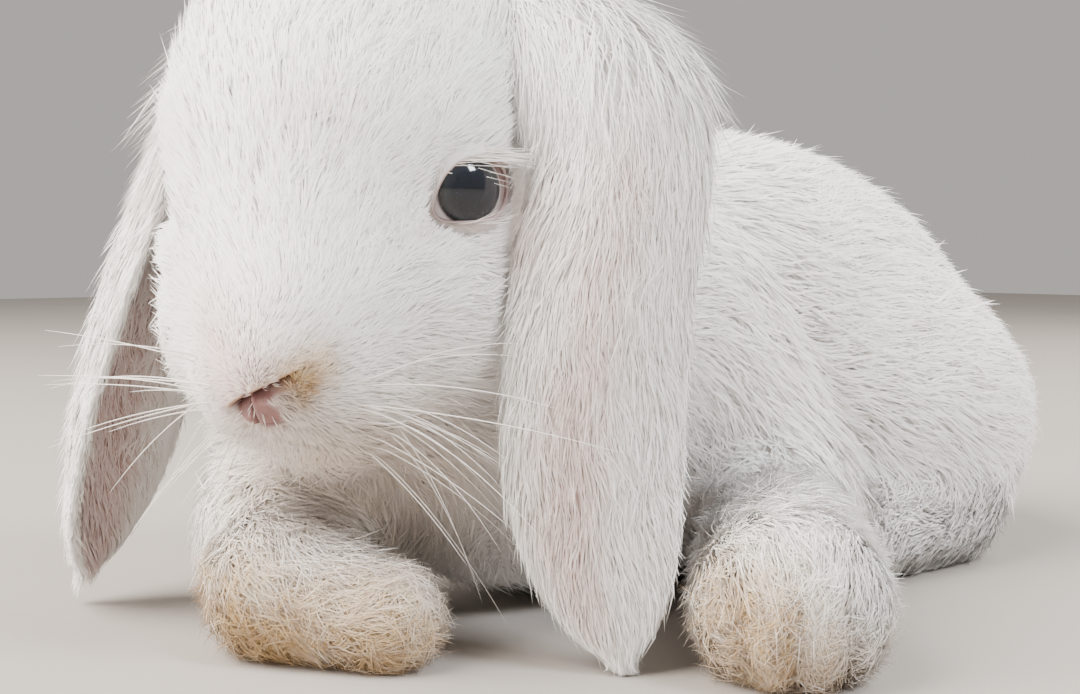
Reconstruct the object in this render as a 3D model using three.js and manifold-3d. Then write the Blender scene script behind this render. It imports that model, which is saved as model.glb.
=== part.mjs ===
// A young lop rabbit at rest on the floor, head turned to its own left and ears hanging.
// The solids give the outline of the coat out to the hair tips, parted where a person would
// name the parts. Millimetres. The rabbit faces -Y, its left side is +X, the floor is z = 0.

import * as THREE from "three";
import Module from "manifold-3d";

const wasm = await Module();
wasm.setup();

// ---- driving dimensions -------------------------------------------------------------

const partGap = 0.35; // clearance left by every cut between neighbouring parts
const beyond = 60; // how far a cutting box runs on where it has no face to cut
const floorReach = 200; // half width and depth of the block that trims the underside flat
const floorDepth = 40;

const headCentre = new THREE.Vector3(8, -77, 60.5);
const headPitch = THREE.MathUtils.degToRad(33); // nose down
const headYaw = THREE.MathUtils.degToRad(35); // nose to the rabbit's left

// The head parts from the neck on a slope from the nape to the throat, turned with the head,
// and head and neck end above the forelegs at one level.
const napeSlope = THREE.MathUtils.degToRad(39);
const napePoint = [0, 14, -18];
const throatLevel = 24;
const neckLength = 13;
const headReach = 50; // no point of the head is farther than this from its centre
const bodyBox = [[-62, -112, -16], [86, 88, 100]]; // holds the whole coat
const legRoom = 30; // room round a foreleg's joints, the tail's centre and an ear's route
const tailRoom = 22;
const earRoom = 24;

const eyeRadius = 7.2;
// Eyeball centres in the head's own axes. The right eye sits deeper, under a fluffed brow.
const eyePlaces = { left: [17.6, -4.2, 7.4], right: [-15.4, -2, 7.4] };
const eyeAxis = new THREE.Vector3(0.84, -0.48, 0.22).normalize(); // left eye, head's own axes
const eyeDishRadius = 10; // hollow in the coat round each eye
const eyeDishOut = 14.2; // its centre, out from the eyeball's along the eye's axis
const socketGap = 0.4;
const roundFacets = [16, 10]; // round the eyes and from pole to pole

const headStep = 5; // grid size of each surface
const bodyStep = 7;
const legStep = 5;
const tailStep = 4;
const ovalFacets = 24; // round the oval that parts the thigh
const earGap = 0.6; // clearance between an ear and the rest of the coat
const weldSize = 1e-3; // points closer than this are one point

// Masses of the head in its own axes: x to its left, -y to the nose, z to the crown.
// Each is [centre, half sizes, softness of the join].
const headMasses = [
  [[0.5, 9, 8], [27, 29, 27.5], 0], // cranium
  [[0, 15, 17], [24, 18, 22], 8], // crown
  [[13, -2, -11], [15.5, 20, 17], 9], // left cheek
  [[-14.5, -3, -13], [15.5, 20, 18], 9], // right cheek, fluffed against the ear
  [[0, -12, -4], [18, 22, 18], 10], // muzzle
  [[6.5, -25, -9.5], [8.5, 9.5, 8.5], 5], // whisker pads
  [[-6.5, -25, -9.5], [8.5, 9.5, 8.5], 5],
  [[0, -16, -19], [12, 14, 10], 7], // chin
  [[0, 6, -18], [21, 20, 14], 8], // throat
];
const bridge = { from: [0, -6, 8], to: [0, -29.5, -3], radii: [13, 6.5], softness: 8 };

// Masses of the trunk in the rabbit's axes.
const trunkMasses = [
  [[0, -46, 34], [30, 32, 31], 0], // chest
  [[0, -22, 38], [31, 38, 38], 12], // ribs
  [[0, 8, 39], [32, 38, 38.5], 12], // loin
  [[0, 33, 32], [30, 36, 37], 14], // rump
];
const haunch = {
  side: 22,
  back: 33,
  height: 24,
  size: [19, 34, 26],
  softness: 8,
  cut: { from: 21, centre: [33, 24], half: [33, 27] },
};
const hindFoot = {
  heel: [30, 36, 8],
  toes: [32, -6, 7],
  radii: [9, 8],
  softness: 8,
  box: [[21, -20, -5], [60, 52, 15]],
};
const tail = { at: [0, 68, 23], size: [10, 10, 14], softness: 5, box: [[-11, 63, 6], [11, 90, 40]] };
const neck = { from: [0, -48, 44], to: [-3.5, -63.5, 56], radii: [29, 25], softness: 10 };
const headSoftness = 7;
const legSoftness = 9;

// Each foreleg runs shoulder, elbow, wrist, toes. Its boxes part it from the trunk: they stand
// at the wrist, with x along the paw, and meet there.
const forelegs = {
  left: {
    points: [[20, -29, 42], [29.5, -11.5, 17], [51, -33, 11], [60.5, -43, 9.5]],
    radii: [[17, 13], [12, 10.5], [13, 13.8]],
    yaw: THREE.MathUtils.degToRad(-45),
    upperBox: [[-28, -18, -20], [0, 18, 13]],
    pawBox: [[0, -24, -20], [40, 24, 22]],
  },
  right: {
    points: [[-8.5, -67.5, 40], [-6, -80, 15], [7, -88, 9], [22, -81, 6]],
    radii: [[17, 13], [12, 10.5], [10.5, 8.5]],
    yaw: THREE.MathUtils.degToRad(25),
    upperBox: [[-40, -20, -20], [0, 22, 15]],
    pawBox: [[0, -20, -20], [40, 14, 15]],
  },
};

// An ear is a curled leaf carried along a route from the crown to the tip. rootAcross and
// hangAcross point from its front rim to its rear rim at the crown and where it hangs.
const earWidest = 12.6; // half width
const earRootThickness = 5; // half thickness where it leaves the head
const earTipThickness = 2;
const earRings = 18;
const earSides = 12;
const ears = {
  left: {
    route: [
      [14.5, -60.5, 91], [25.5, -56.5, 89], [37, -55.5, 80], [43.5, -58.5, 69],
      [44.5, -63, 50], [44, -64, 30], [44.5, -62.5, 16], [45.8, -59.5, 1.8],
    ],
    rootAcross: new THREE.Vector3(-0.46, 0.79, 0.41),
    hangAcross: new THREE.Vector3(0.77, 0.64, 0),
    curl: 0.36,
    outward: 1,
  },
  right: {
    route: [
      [-6.5, -82, 92], [-15.5, -87, 74], [-25, -92.5, 54],
      [-30.5, -96, 36], [-33.5, -97.5, 20], [-36, -98.5, 5.5],
    ],
    rootAcross: new THREE.Vector3(-0.53, 0.84, -0.1),
    hangAcross: new THREE.Vector3(-0.49, 0.87, 0),
    curl: 0.8,
    outward: -1,
  },
};

// ---- distance fields: negative inside, about a millimetre per millimetre near the surface ------

const clamp = THREE.MathUtils.clamp;

// Smooth union of two distances, rounding the join over about the given softness.
function blend(a, b, softness) {
  if (softness === 0) {
    return Math.min(a, b);
  }
  const mix = clamp(0.5 + (0.5 * (b - a)) / softness, 0, 1);
  return b + (a - b) * mix - softness * mix * (1 - mix);
}

function ellipsoidAt(point, [cx, cy, cz], [rx, ry, rz]) {
  const x = (point.x - cx) / rx;
  const y = (point.y - cy) / ry;
  const z = (point.z - cz) / rz;
  const reach = Math.hypot(x, y, z);
  const slope = Math.hypot(x / rx, y / ry, z / rz);
  return slope < 1e-9 ? -Math.min(rx, ry, rz) : (reach * (reach - 1)) / slope;
}

// A limb is a round bar whose radius changes evenly from one end to the other.
function limbAt(point, from, to, [startRadius, endRadius]) {
  const start = new THREE.Vector3(...from);
  const along = new THREE.Vector3(...to).sub(start);
  const offset = point.clone().sub(start);
  const share = clamp(offset.dot(along) / along.lengthSq(), 0, 1);
  const away = offset.addScaledVector(along, -share).length();
  return away - THREE.MathUtils.lerp(startRadius, endRadius, share);
}

function massesAt(point, masses) {
  return masses.reduce(
    (distance, [centre, size, softness]) =>
      blend(distance, ellipsoidAt(point, centre, size), softness),
    Infinity,
  );
}

const headPlacement = new THREE.Matrix4()
  .makeRotationFromEuler(new THREE.Euler(headPitch, 0, headYaw, "ZYX"))
  .setPosition(headCentre);
const intoHead = headPlacement.clone().invert();

function headAt(point) {
  const local = point.clone().applyMatrix4(intoHead);
  const nose = limbAt(local, bridge.from, bridge.to, bridge.radii);
  return blend(massesAt(local, headMasses), nose, bridge.softness);
}

function hindLegAt(point, side) {
  const { side: out, back, height, size, softness } = haunch;
  const thigh = ellipsoidAt(point, [side * out, back, height], size);
  return blend(thigh, hindFootAt(point, side), softness);
}

function hindFootAt(point, side) {
  const onLeft = new THREE.Vector3(side * point.x, point.y, point.z);
  return limbAt(onLeft, hindFoot.heel, hindFoot.toes, hindFoot.radii);
}

function forelegAt(point, { points, radii }) {
  const upper = limbAt(point, points[0], points[1], radii[0]);
  const lower = limbAt(point, points[1], points[2], radii[1]);
  const paw = limbAt(point, points[2], points[3], radii[2]);
  return blend(blend(upper, lower, 5), paw, 4);
}

function trunkAt(point) {
  let distance = massesAt(point, trunkMasses);
  for (const side of [1, -1]) {
    distance = blend(distance, hindLegAt(point, side), haunch.softness);
  }
  return blend(distance, ellipsoidAt(point, tail.at, tail.size), tail.softness);
}

// The whole coat apart from the ears.
function coatAt(point) {
  let distance = blend(trunkAt(point), limbAt(point, neck.from, neck.to, neck.radii), neck.softness);
  for (const leg of Object.values(forelegs)) {
    distance = blend(distance, forelegAt(point, leg), legSoftness);
  }
  return blend(distance, headAt(point), headSoftness);
}

// ---- surfaces -------------------------------------------------------------------------

// Closed mesh where a field changes sign: each grid cell that the surface crosses gets one point,
// at the mean of the crossings on its edges, and each grid edge that changes sign gets one
// square between the four cells round it. The outermost layer of the grid counts as outside.
function surfaceOf(fieldAt, low, high, step) {
  const count = high.map((top, axis) => Math.ceil((top - low[axis]) / step) + 1);
  const stride = [1, count[0], count[0] * count[1]];
  const values = new Float64Array(count[0] * count[1] * count[2]);
  const point = new THREE.Vector3();
  for (let index = 0; index < values.length; index += 1) {
    const cell = cellOf(index, count);
    const atEdge = cell.some((place, axis) => place === 0 || place === count[axis] - 1);
    point.set(...cell.map((place, axis) => low[axis] + place * step));
    values[index] = atEdge ? step : fieldAt(point);
  }
  const sums = new Map();
  const squares = [];
  for (let index = 0; index < values.length; index += 1) {
    const cell = cellOf(index, count);
    for (let axis = 0; axis < 3; axis += 1) {
      const next = index + stride[axis];
      if (cell[axis] === count[axis] - 1 || values[index] < 0 === values[next] < 0) {
        continue;
      }
      const crossing = cell.map((place, along) => low[along] + place * step);
      crossing[axis] += (step * values[index]) / (values[index] - values[next]);
      const acrossOne = stride[(axis + 1) % 3];
      const acrossTwo = stride[(axis + 2) % 3];
      const ring = [index - acrossOne - acrossTwo, index - acrossTwo, index, index - acrossOne];
      for (const corner of ring) {
        const sum = sums.get(corner) ?? [0, 0, 0, 0];
        sums.set(corner, [...crossing, 1].map((value, along) => sum[along] + value));
      }
      squares.push(values[index] < 0 ? ring : ring.reverse());
    }
  }
  const order = new Map([...sums.keys()].map((corner, place) => [corner, place]));
  const positions = [...sums.values()].flatMap(([x, y, z, total]) => [x / total, y / total, z / total]);
  const triangles = squares.flatMap(([a, b, c, d]) => [a, b, c, a, c, d].map((corner) => order.get(corner)));
  return closedMesh(positions, triangles);
}

function cellOf(index, [countX, countY]) {
  const x = index % countX;
  const y = Math.floor(index / countX) % countY;
  return [x, y, Math.floor(index / (countX * countY))];
}

function closedMesh(positions, triangles) {
  const geometry = new THREE.BufferGeometry();
  geometry.setAttribute("position", new THREE.Float32BufferAttribute(positions, 3));
  geometry.setIndex(triangles);
  return geometry;
}

// Half width of an ear at a share of its length: narrower at the crown, round at the tip.
function earHalfWidth(share) {
  const root = 0.72 + 0.28 * THREE.MathUtils.smoothstep(share, 0, 0.25);
  const tip = Math.sqrt(Math.max(1 - Math.max((share - 0.72) / 0.28, 0) ** 2, 0.02));
  return earWidest * root * tip;
}

function earHalfThickness(share) {
  return earTipThickness + (earRootThickness - earTipThickness) * (1 - share) ** 3;
}

// Rings of points round the curled section, carried along the route and closed at both ends.
function earSurface({ route, rootAcross, hangAcross, curl, outward }) {
  const path = new THREE.CatmullRomCurve3(route.map((place) => new THREE.Vector3(...place)));
  const positions = [...path.getPoint(0).toArray()];
  for (let ring = 0; ring < earRings; ring += 1) {
    const share = ring / (earRings - 1);
    const centre = path.getPointAt(share);
    const along = path.getTangentAt(share);
    const turn = THREE.MathUtils.smoothstep(share, 0, 0.45);
    const across = rootAcross.clone().lerp(hangAcross, turn);
    across.addScaledVector(along, -across.dot(along)).normalize();
    const outside = new THREE.Vector3().crossVectors(along, across).multiplyScalar(outward);
    const halfWidth = earHalfWidth(share);
    const bend = curl * (0.45 + 0.55 * Math.sin(Math.PI * share));
    for (let side = 0; side < earSides; side += 1) {
      const angle = (2 * Math.PI * side * outward) / earSides;
      const x = halfWidth * Math.cos(angle);
      const sag = bend * ((x * x) / halfWidth - 0.3 * halfWidth);
      const y = earHalfThickness(share) * Math.sin(angle) - sag;
      const place = centre.clone().addScaledVector(across, x).addScaledVector(outside, y);
      positions.push(...place.toArray());
    }
  }
  positions.push(...path.getPoint(1).toArray());
  const triangles = [];
  const last = earRings * earSides + 1;
  for (let side = 0; side < earSides; side += 1) {
    const next = (side + 1) % earSides;
    triangles.push(0, 1 + next, 1 + side);
    triangles.push(last, last - earSides + side, last - earSides + next);
    for (let ring = 0; ring < earRings - 1; ring += 1) {
      const here = 1 + ring * earSides;
      const ahead = here + earSides;
      triangles.push(here + side, here + next, ahead + next);
      triangles.push(here + side, ahead + next, ahead + side);
    }
  }
  return closedMesh(positions, triangles);
}

// ---- joining and cutting ----------------------------------------------------------------

// Round shapes and boxes repeat their points along seams, and cuts can leave points that almost
// touch, so points at one place are merged and the triangles that vanish are dropped.
function toSolid(geometry) {
  const source = geometry.getAttribute("position");
  const places = new Map();
  const vertices = [];
  const merged = [];
  for (let index = 0; index < source.count; index += 1) {
    const place = [source.getX(index), source.getY(index), source.getZ(index)];
    const key = place.map((value) => Math.round(value / weldSize)).join();
    if (!places.has(key)) {
      places.set(key, vertices.length / 3);
      vertices.push(...place);
    }
    merged.push(places.get(key));
  }
  const corners = [...geometry.index.array].map((index) => merged[index]);
  const triVerts = [];
  for (let corner = 0; corner < corners.length; corner += 3) {
    const [a, b, c] = corners.slice(corner, corner + 3);
    if (a !== b && b !== c && a !== c) {
      triVerts.push(a, b, c);
    }
  }
  const mesh = new wasm.Mesh({
    numProp: 3,
    vertProperties: new Float32Array(vertices),
    triVerts: new Uint32Array(triVerts),
  });
  return new wasm.Manifold(mesh);
}

function toGeometry(solid) {
  const mesh = solid.getMesh();
  return closedMesh(mesh.vertProperties, [...mesh.triVerts]);
}

// Cuts can leave slivers, so a part is the largest piece of what is left.
function toPart(name, solid, finish) {
  const pieces = solid.decompose();
  const largest = pieces.reduce((best, piece) => (piece.volume() > best.volume() ? piece : best));
  const geometry = toGeometry(toSolid(toGeometry(largest))).toNonIndexed();
  geometry.computeVertexNormals();
  const part = new THREE.Mesh(geometry, finish);
  part.name = name;
  return part;
}

// Box between two corners, grown by a clearance on every side and then placed.
function boxSolid([low, high], gap, placement = new THREE.Matrix4()) {
  const size = high.map((top, axis) => top - low[axis] + 2 * gap);
  const centre = high.map((top, axis) => (top + low[axis]) / 2);
  const geometry = new THREE.BoxGeometry(...size).translate(...centre);
  return toSolid(geometry.applyMatrix4(placement));
}

function mirrored([low, high], side) {
  const across = [side * low[0], side * high[0]].sort((a, b) => a - b);
  return [[across[0], low[1], low[2]], [across[1], high[1], high[2]]];
}

// ---- finishes -----------------------------------------------------------------------------

const coat = new THREE.MeshStandardMaterial({ color: "#efe9e3", roughness: 0.95, metalness: 0 });
const stained = new THREE.MeshStandardMaterial({ color: "#dcc39a", roughness: 0.95, metalness: 0 });
const cornea = new THREE.MeshStandardMaterial({ color: "#2c3440", roughness: 0.08, metalness: 0 });

// ---- parts --------------------------------------------------------------------------------

const floorBlock = boxSolid([[-floorReach, -floorReach, -floorDepth], [floorReach, floorReach, 0]], 0);

// The coat's surface inside a box, trimmed flat where it meets the floor.
function coatSolid([low, high], step, grow = 0) {
  return toSolid(surfaceOf((point) => coatAt(point) - grow, low, high, step)).subtract(floorBlock);
}

// Box round a list of points, with room on every side.
function boxRound(points, room) {
  const low = [0, 1, 2].map((axis) => Math.min(...points.map((place) => place[axis])) - room);
  const high = [0, 1, 2].map((axis) => Math.max(...points.map((place) => place[axis])) + room);
  return [low, high];
}

// Each cutter is made with a clearance, so that what it takes away is larger than what it keeps.
const napePlacement = headPlacement
  .clone()
  .multiply(new THREE.Matrix4().makeRotationX(napeSlope).setPosition(...napePoint));
const aboveThroat = [[-beyond, -2 * beyond, throatLevel], [beyond, beyond, 2 * beyond]];

function headCutter(gap, behind = 0) {
  const aboveNape = boxSolid([[-beyond, -beyond, -behind], [beyond, beyond, 2 * beyond]], gap, napePlacement);
  return aboveNape.intersect(boxSolid(aboveThroat, gap));
}

// Upright oval plate beside the haunch.
function thighCutter(side, gap) {
  const { from, centre, half } = haunch.cut;
  const geometry = new THREE.CylinderGeometry(1, 1, beyond, ovalFacets).rotateZ(Math.PI / 2);
  geometry.scale(1, half[0] + gap, half[1] + gap);
  return toSolid(geometry.translate(side * (from + beyond / 2 - gap), ...centre));
}

// The eyes' axes mirror each other about the middle of the head.
function eyeInHead(side) {
  const centre = new THREE.Vector3(...(side > 0 ? eyePlaces.left : eyePlaces.right));
  const axis = eyeAxis.clone();
  axis.x *= side;
  return { centre, axis };
}

function eyeball(side, grow) {
  const centre = eyeInHead(side).centre.applyMatrix4(headPlacement);
  const geometry = new THREE.SphereGeometry(eyeRadius + grow, ...roundFacets);
  return toSolid(geometry.translate(...centre.toArray()));
}

function eyeDish(side) {
  const { centre, axis } = eyeInHead(side);
  const place = centre.addScaledVector(axis, eyeDishOut).applyMatrix4(headPlacement);
  return toSolid(new THREE.SphereGeometry(eyeDishRadius, ...roundFacets).translate(...place.toArray()));
}

const sides = { left: 1, right: -1 };
const parts = [];

const headBox = boxRound([headCentre.toArray()], headReach);
let head = coatSolid(headBox, headStep).intersect(headCutter(0));
for (const [name, side] of Object.entries(sides)) {
  head = head.subtract(eyeball(side, socketGap)).subtract(eyeDish(side));
  parts.push(toPart(`eye_${name}`, eyeball(side, 0), cornea));
}
parts.push(toPart("head", head, coat));

let body = coatSolid(bodyBox, bodyStep).subtract(headCutter(partGap));

for (const [name, leg] of Object.entries(forelegs)) {
  const placement = new THREE.Matrix4().makeRotationZ(leg.yaw).setPosition(...leg.points[2]);
  const upperOf = (gap) => boxSolid(leg.upperBox, gap, placement);
  const pawOf = (gap) => boxSolid(leg.pawBox, gap, placement);
  const fine = coatSolid(boxRound(leg.points, legRoom), legStep).subtract(headCutter(partGap));
  parts.push(toPart(`forepaw_${name}`, fine.intersect(pawOf(0)), stained));
  parts.push(toPart(`foreleg_${name}`, fine.subtract(pawOf(partGap)).intersect(upperOf(0)), coat));
  body = body.subtract(pawOf(partGap)).subtract(upperOf(partGap));
}

parts.push(toPart("neck", body.intersect(headCutter(0, neckLength)), coat));
body = body.subtract(headCutter(partGap, neckLength));

for (const [name, side] of Object.entries(sides)) {
  const footOf = (gap) => boxSolid(mirrored(hindFoot.box, side), gap);
  parts.push(toPart(`hind_foot_${name}`, body.intersect(footOf(0)), coat));
  body = body.subtract(footOf(partGap));
  parts.push(toPart(`hind_leg_${name}`, body.intersect(thighCutter(side, 0)), coat));
  body = body.subtract(thighCutter(side, partGap));
}

const rumpEnd = coatSolid(boxRound([tail.at], tailRoom), tailStep);
parts.push(toPart("tail", rumpEnd.intersect(boxSolid(tail.box, 0)), coat));
parts.push(toPart("trunk", body.subtract(boxSolid(tail.box, partGap)), coat));

for (const [name, ear] of Object.entries(ears)) {
  const coatBehind = coatSolid(boxRound(ear.route, earRoom), headStep, earGap);
  parts.push(toPart(`ear_${name}`, toSolid(earSurface(ear)).subtract(coatBehind), coat));
}

// The part's origin is the middle of the floor under it.
const rabbit = new THREE.Group();
rabbit.add(...parts);
const extent = new THREE.Box3().setFromObject(rabbit);
const middle = extent.getCenter(new THREE.Vector3());
rabbit.position.set(-middle.x, -middle.y, -extent.min.z);

export default rabbit;
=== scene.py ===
import math

import bpy
import numpy as np
from mathutils import Matrix, Vector


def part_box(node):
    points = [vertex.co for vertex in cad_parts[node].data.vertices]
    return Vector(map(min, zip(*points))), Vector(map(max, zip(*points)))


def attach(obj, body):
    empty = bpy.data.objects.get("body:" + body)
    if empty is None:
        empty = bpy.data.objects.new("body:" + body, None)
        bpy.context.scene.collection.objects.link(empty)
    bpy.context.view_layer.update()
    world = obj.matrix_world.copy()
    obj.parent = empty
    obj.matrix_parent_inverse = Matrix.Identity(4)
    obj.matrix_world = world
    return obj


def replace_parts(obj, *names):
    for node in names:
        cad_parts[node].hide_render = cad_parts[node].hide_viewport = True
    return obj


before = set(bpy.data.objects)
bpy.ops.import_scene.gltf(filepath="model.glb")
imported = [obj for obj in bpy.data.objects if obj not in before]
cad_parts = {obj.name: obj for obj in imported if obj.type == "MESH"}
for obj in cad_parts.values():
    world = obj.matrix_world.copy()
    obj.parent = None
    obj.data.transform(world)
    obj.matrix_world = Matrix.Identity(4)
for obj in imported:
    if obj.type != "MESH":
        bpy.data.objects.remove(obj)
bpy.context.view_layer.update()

# Shapes are worked out in millimetres in the rabbit's own axes: it faces -y, its left is +x,
# the floor is z = 0. The head has axes of its own, turned and tipped, with the nose at -y.
headPose = {"centre": (8, -77, 60.5), "noseDown": 33, "noseLeft": 35}
eye = {  # the right eye sits a little deeper, under a fluffed brow
    "radius": 7.2, "places": {1: (17.6, -4.2, 7.4), -1: (-15.4, -2, 7.4)},
    "axes": {1: (0.84, -0.48, 0.22), -1: (-0.93, -0.28, 0.2)}, "widths": {1: 1, -1: 0.84},
    "openingTilt": (0.17, 0.02),  # the lids' opening lies this far towards the nose and the crown
    "irisTilt": (0.28, 0.13), "irisAngle": 37, "pupilAngle": 25, "corneaRise": 0.35,
    "rings": 90, "sides": 96, "poleAngle": 0.012,  # the mesh, and the small flat at each pole in radians
}
# Lid outline about the opening's middle: turn from the nose over the crown, and half angle there.
lidOutline = [(0, 55), (18, 48), (45, 42), (75, 38.5), (110, 36), (140, 35), (170, 44), (200, 53),
              (226, 55), (250, 43), (275, 31.5), (305, 28.5), (330, 33), (346, 44)]


def turned(axis, degrees):
    return np.array(Matrix.Rotation(math.radians(degrees), 3, axis))


def unit(v):
    return v / np.maximum(np.linalg.norm(v, axis=-1, keepdims=True), 1e-9)


headTurn = turned("Z", headPose["noseLeft"]) @ turned("X", headPose["noseDown"])
headCentre = np.array(headPose["centre"], float)


def fromHead(q):
    return np.asarray(q, float) @ headTurn.T + headCentre


def intoHead(p):
    return (p - headCentre) @ headTurn


def eyeCentre(side):
    return fromHead(eye["places"][side])


eyeLow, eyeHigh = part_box("eye_left")
shift = np.array((eyeLow + eyeHigh) / 2) * 1000 - eyeCentre(1)  # from the rabbit's axes to the frame


def inFrame(p):
    return (np.asarray(p, float) + shift) / 1000


cameraSpec = {
    "at": (183.3, -189.1, 56), "turn": 50, "down": math.degrees(math.atan(97 / 1450)),
    "lens": 48.33, "sensor": 36, "near": 0.01,
}


def addObject(name, data):
    thing = bpy.data.objects.new(name, data)
    bpy.context.scene.collection.objects.link(thing)
    return thing


def makeCamera():
    data = bpy.data.cameras.new("camera")
    data.lens = cameraSpec["lens"]
    data.sensor_width = cameraSpec["sensor"]
    data.clip_start = cameraSpec["near"]
    camera = addObject("camera", data)
    camera.location = inFrame(cameraSpec["at"])
    camera.rotation_euler = (math.radians(90 - cameraSpec["down"]), 0, math.radians(cameraSpec["turn"]))
    bpy.context.scene.camera = camera


makeCamera()
print("camera made")


def smoothStep(x, low, high):
    t = np.clip((x - low) / (high - low), 0, 1)
    return t * t * (3 - 2 * t)


def mixed(a, b, share):
    return a + (b - a) * share


# random vectors on a lattice of the given spacing, mixed smoothly between their neighbours
def driftAt(p, spacing, seed, cells=40, offset=7.3):
    lattice = np.random.default_rng(seed).normal(size=(cells, cells, cells, 3)).astype(np.float32)
    q = np.mod(p / spacing + offset, cells)
    base = np.floor(q).astype(np.int64)
    part = q - base
    part = part * part * (3 - 2 * part)
    result = 0
    for corner in np.ndindex(2, 2, 2):
        share = 1
        for axis, step in enumerate(corner):
            share = share * (part[:, axis] if step else 1 - part[:, axis])
        i, j, k = ((base[:, axis] + step) % cells for axis, step in enumerate(corner))
        result = result + lattice[i, j, k] * share[:, None]
    return result


# mesh from points in millimetres, a flat list of corners and the corner count of each face
def makePiece(name, points, corners, sizes, material, normals=None, values=None, uv=None):
    mesh = bpy.data.meshes.new(name)
    mesh.vertices.add(len(points))
    mesh.vertices.foreach_set("co", inFrame(points).astype(np.float32).ravel())
    mesh.loops.add(len(corners))
    mesh.loops.foreach_set("vertex_index", np.asarray(corners, np.int32))
    mesh.polygons.add(len(sizes))
    starts = np.concatenate([[0], np.cumsum(sizes)[:-1]]).astype(np.int32)
    mesh.polygons.foreach_set("loop_start", starts)
    mesh.update(calc_edges=True)
    mesh.polygons.foreach_set("use_smooth", np.ones(len(sizes), bool))
    for key, value in (values or {}).items():
        layer = mesh.attributes.new(key, "FLOAT", "POINT")
        layer.data.foreach_set("value", np.asarray(value, np.float32).ravel())
    if uv is not None:
        layer = mesh.uv_layers.new(name="OFBake")
        layer.data.foreach_set("uv", np.asarray(uv, np.float32)[corners].ravel())
    if normals is not None:
        mesh.normals_split_custom_set_from_vertices(unit(normals).astype(np.float32))
    mesh.materials.append(material)
    piece = addObject(name, mesh)
    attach(piece, "root")
    return piece


# squares of a grid of rows by columns, whose columns may close round on themselves
def gridFaces(rows, columns, closed=False):
    ends = np.arange(rows - 1), np.arange(columns if closed else columns - 1)
    row, column = np.meshgrid(*ends, indexing="ij")
    across = (column + 1) % columns
    squares = np.stack([row * columns + column, row * columns + across,
                        (row + 1) * columns + across, (row + 1) * columns + column], -1)
    return squares.reshape(-1, 4)


def colour(code):
    parts = [int(code[i:i + 2], 16) / 255 for i in (1, 3, 5)]
    return (*[c / 12.92 if c <= 0.04045 else ((c + 0.055) / 1.055) ** 2.4 for c in parts], 1)


def addNode(tree, kind, values=None, links=None, **settings):
    node = tree.nodes.new(kind)
    for key, value in settings.items():
        setattr(node, key, value)
    for key, value in (values or {}).items():
        node.inputs[key].default_value = value
    for key, source in (links or {}).items():
        tree.links.new(source, node.inputs[key])
    return node


def startMaterial(name):
    material = bpy.data.materials.new(name)
    material.use_nodes = True
    tree = material.node_tree
    tree.nodes.clear()
    return material, tree


def finishMaterial(tree, values, links):
    shader = addNode(tree, "ShaderNodeBsdfPrincipled", values, links)
    addNode(tree, "ShaderNodeOutputMaterial", links={"Surface": shader.outputs["BSDF"]})


def readValue(tree, name):
    return addNode(tree, "ShaderNodeAttribute", attribute_name=name).outputs["Fac"]


def mixColour(tree, share, first, second, blendType="MIX"):
    node = addNode(tree, "ShaderNodeMix", data_type="RGBA", blend_type=blendType)
    for socket, value in ((node.inputs[0], share), (node.inputs[6], first), (node.inputs[7], second)):
        if isinstance(value, bpy.types.NodeSocket):
            tree.links.new(value, socket)
        else:
            socket.default_value = value
    return node.outputs[2]


def ramp(tree, value, *stops):  # each stop is a position and a colour code
    node = addNode(tree, "ShaderNodeValToRGB", links={"Fac": value})
    elements = node.color_ramp.elements
    for element, (position, code) in zip(elements, (stops[0], stops[-1])):
        element.color, element.position = colour(code), position
    for position, code in stops[1:-1]:
        elements.new(position).color = colour(code)
    return node.outputs["Color"]


def placeOf(tree):
    return addNode(tree, "ShaderNodeTexCoord").outputs["Object"]


def noise(tree, place, scale, detail):
    values = {"Scale": scale, "Detail": detail}
    return addNode(tree, "ShaderNodeTexNoise", values, {"Vector": place}).outputs["Fac"]


# White guard hair over a warm underfur: each hair is a little darker and pinker at its root and
# brightest along its outer half, with single hairs greyer or creamier than their neighbours.
# Paws are stained straw yellow, and the skin warms the thin coat of ears and nose. The same
# straw colour, faint under the chin and chest, is painted warm bounce light and shade with some
# real staining; the pink is also painted shade in the ears' inner faces, under the chin and next
# to the left eye.
def coatMaterial():
    material, tree = startMaterial("whiteRabbitFur")
    shown = ramp(tree, readValue(tree, "along"), (0.0, "#e9dfd8"), (0.5, "#fdfcfa"))
    shown = mixColour(tree, readValue(tree, "tone"), shown, colour("#e0d6ce"), "MULTIPLY")
    # the pink also carries painted shade: the ears' inner faces, under the chin and next to the left eye
    shown = mixColour(tree, readValue(tree, "blushAndShade"), shown, colour("#c69d98"))
    patches = noise(tree, placeOf(tree), 420.0, 3.0)
    stainAndBounceColour = mixColour(tree, patches, colour("#a07243"), colour("#dfc184"))
    # the faint straw colour under the chin and chest is painted warm bounce light and shade
    shown = mixColour(tree, readValue(tree, "stainAndBounce"), shown, stainAndBounceColour)
    finishMaterial(tree, {"Roughness": 0.62, "IOR": 1.5, "Specular IOR Level": 0.25, "Sheen Weight": 0.2,
                          "Sheen Roughness": 0.6}, {"Base Color": shown})
    return material
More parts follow.
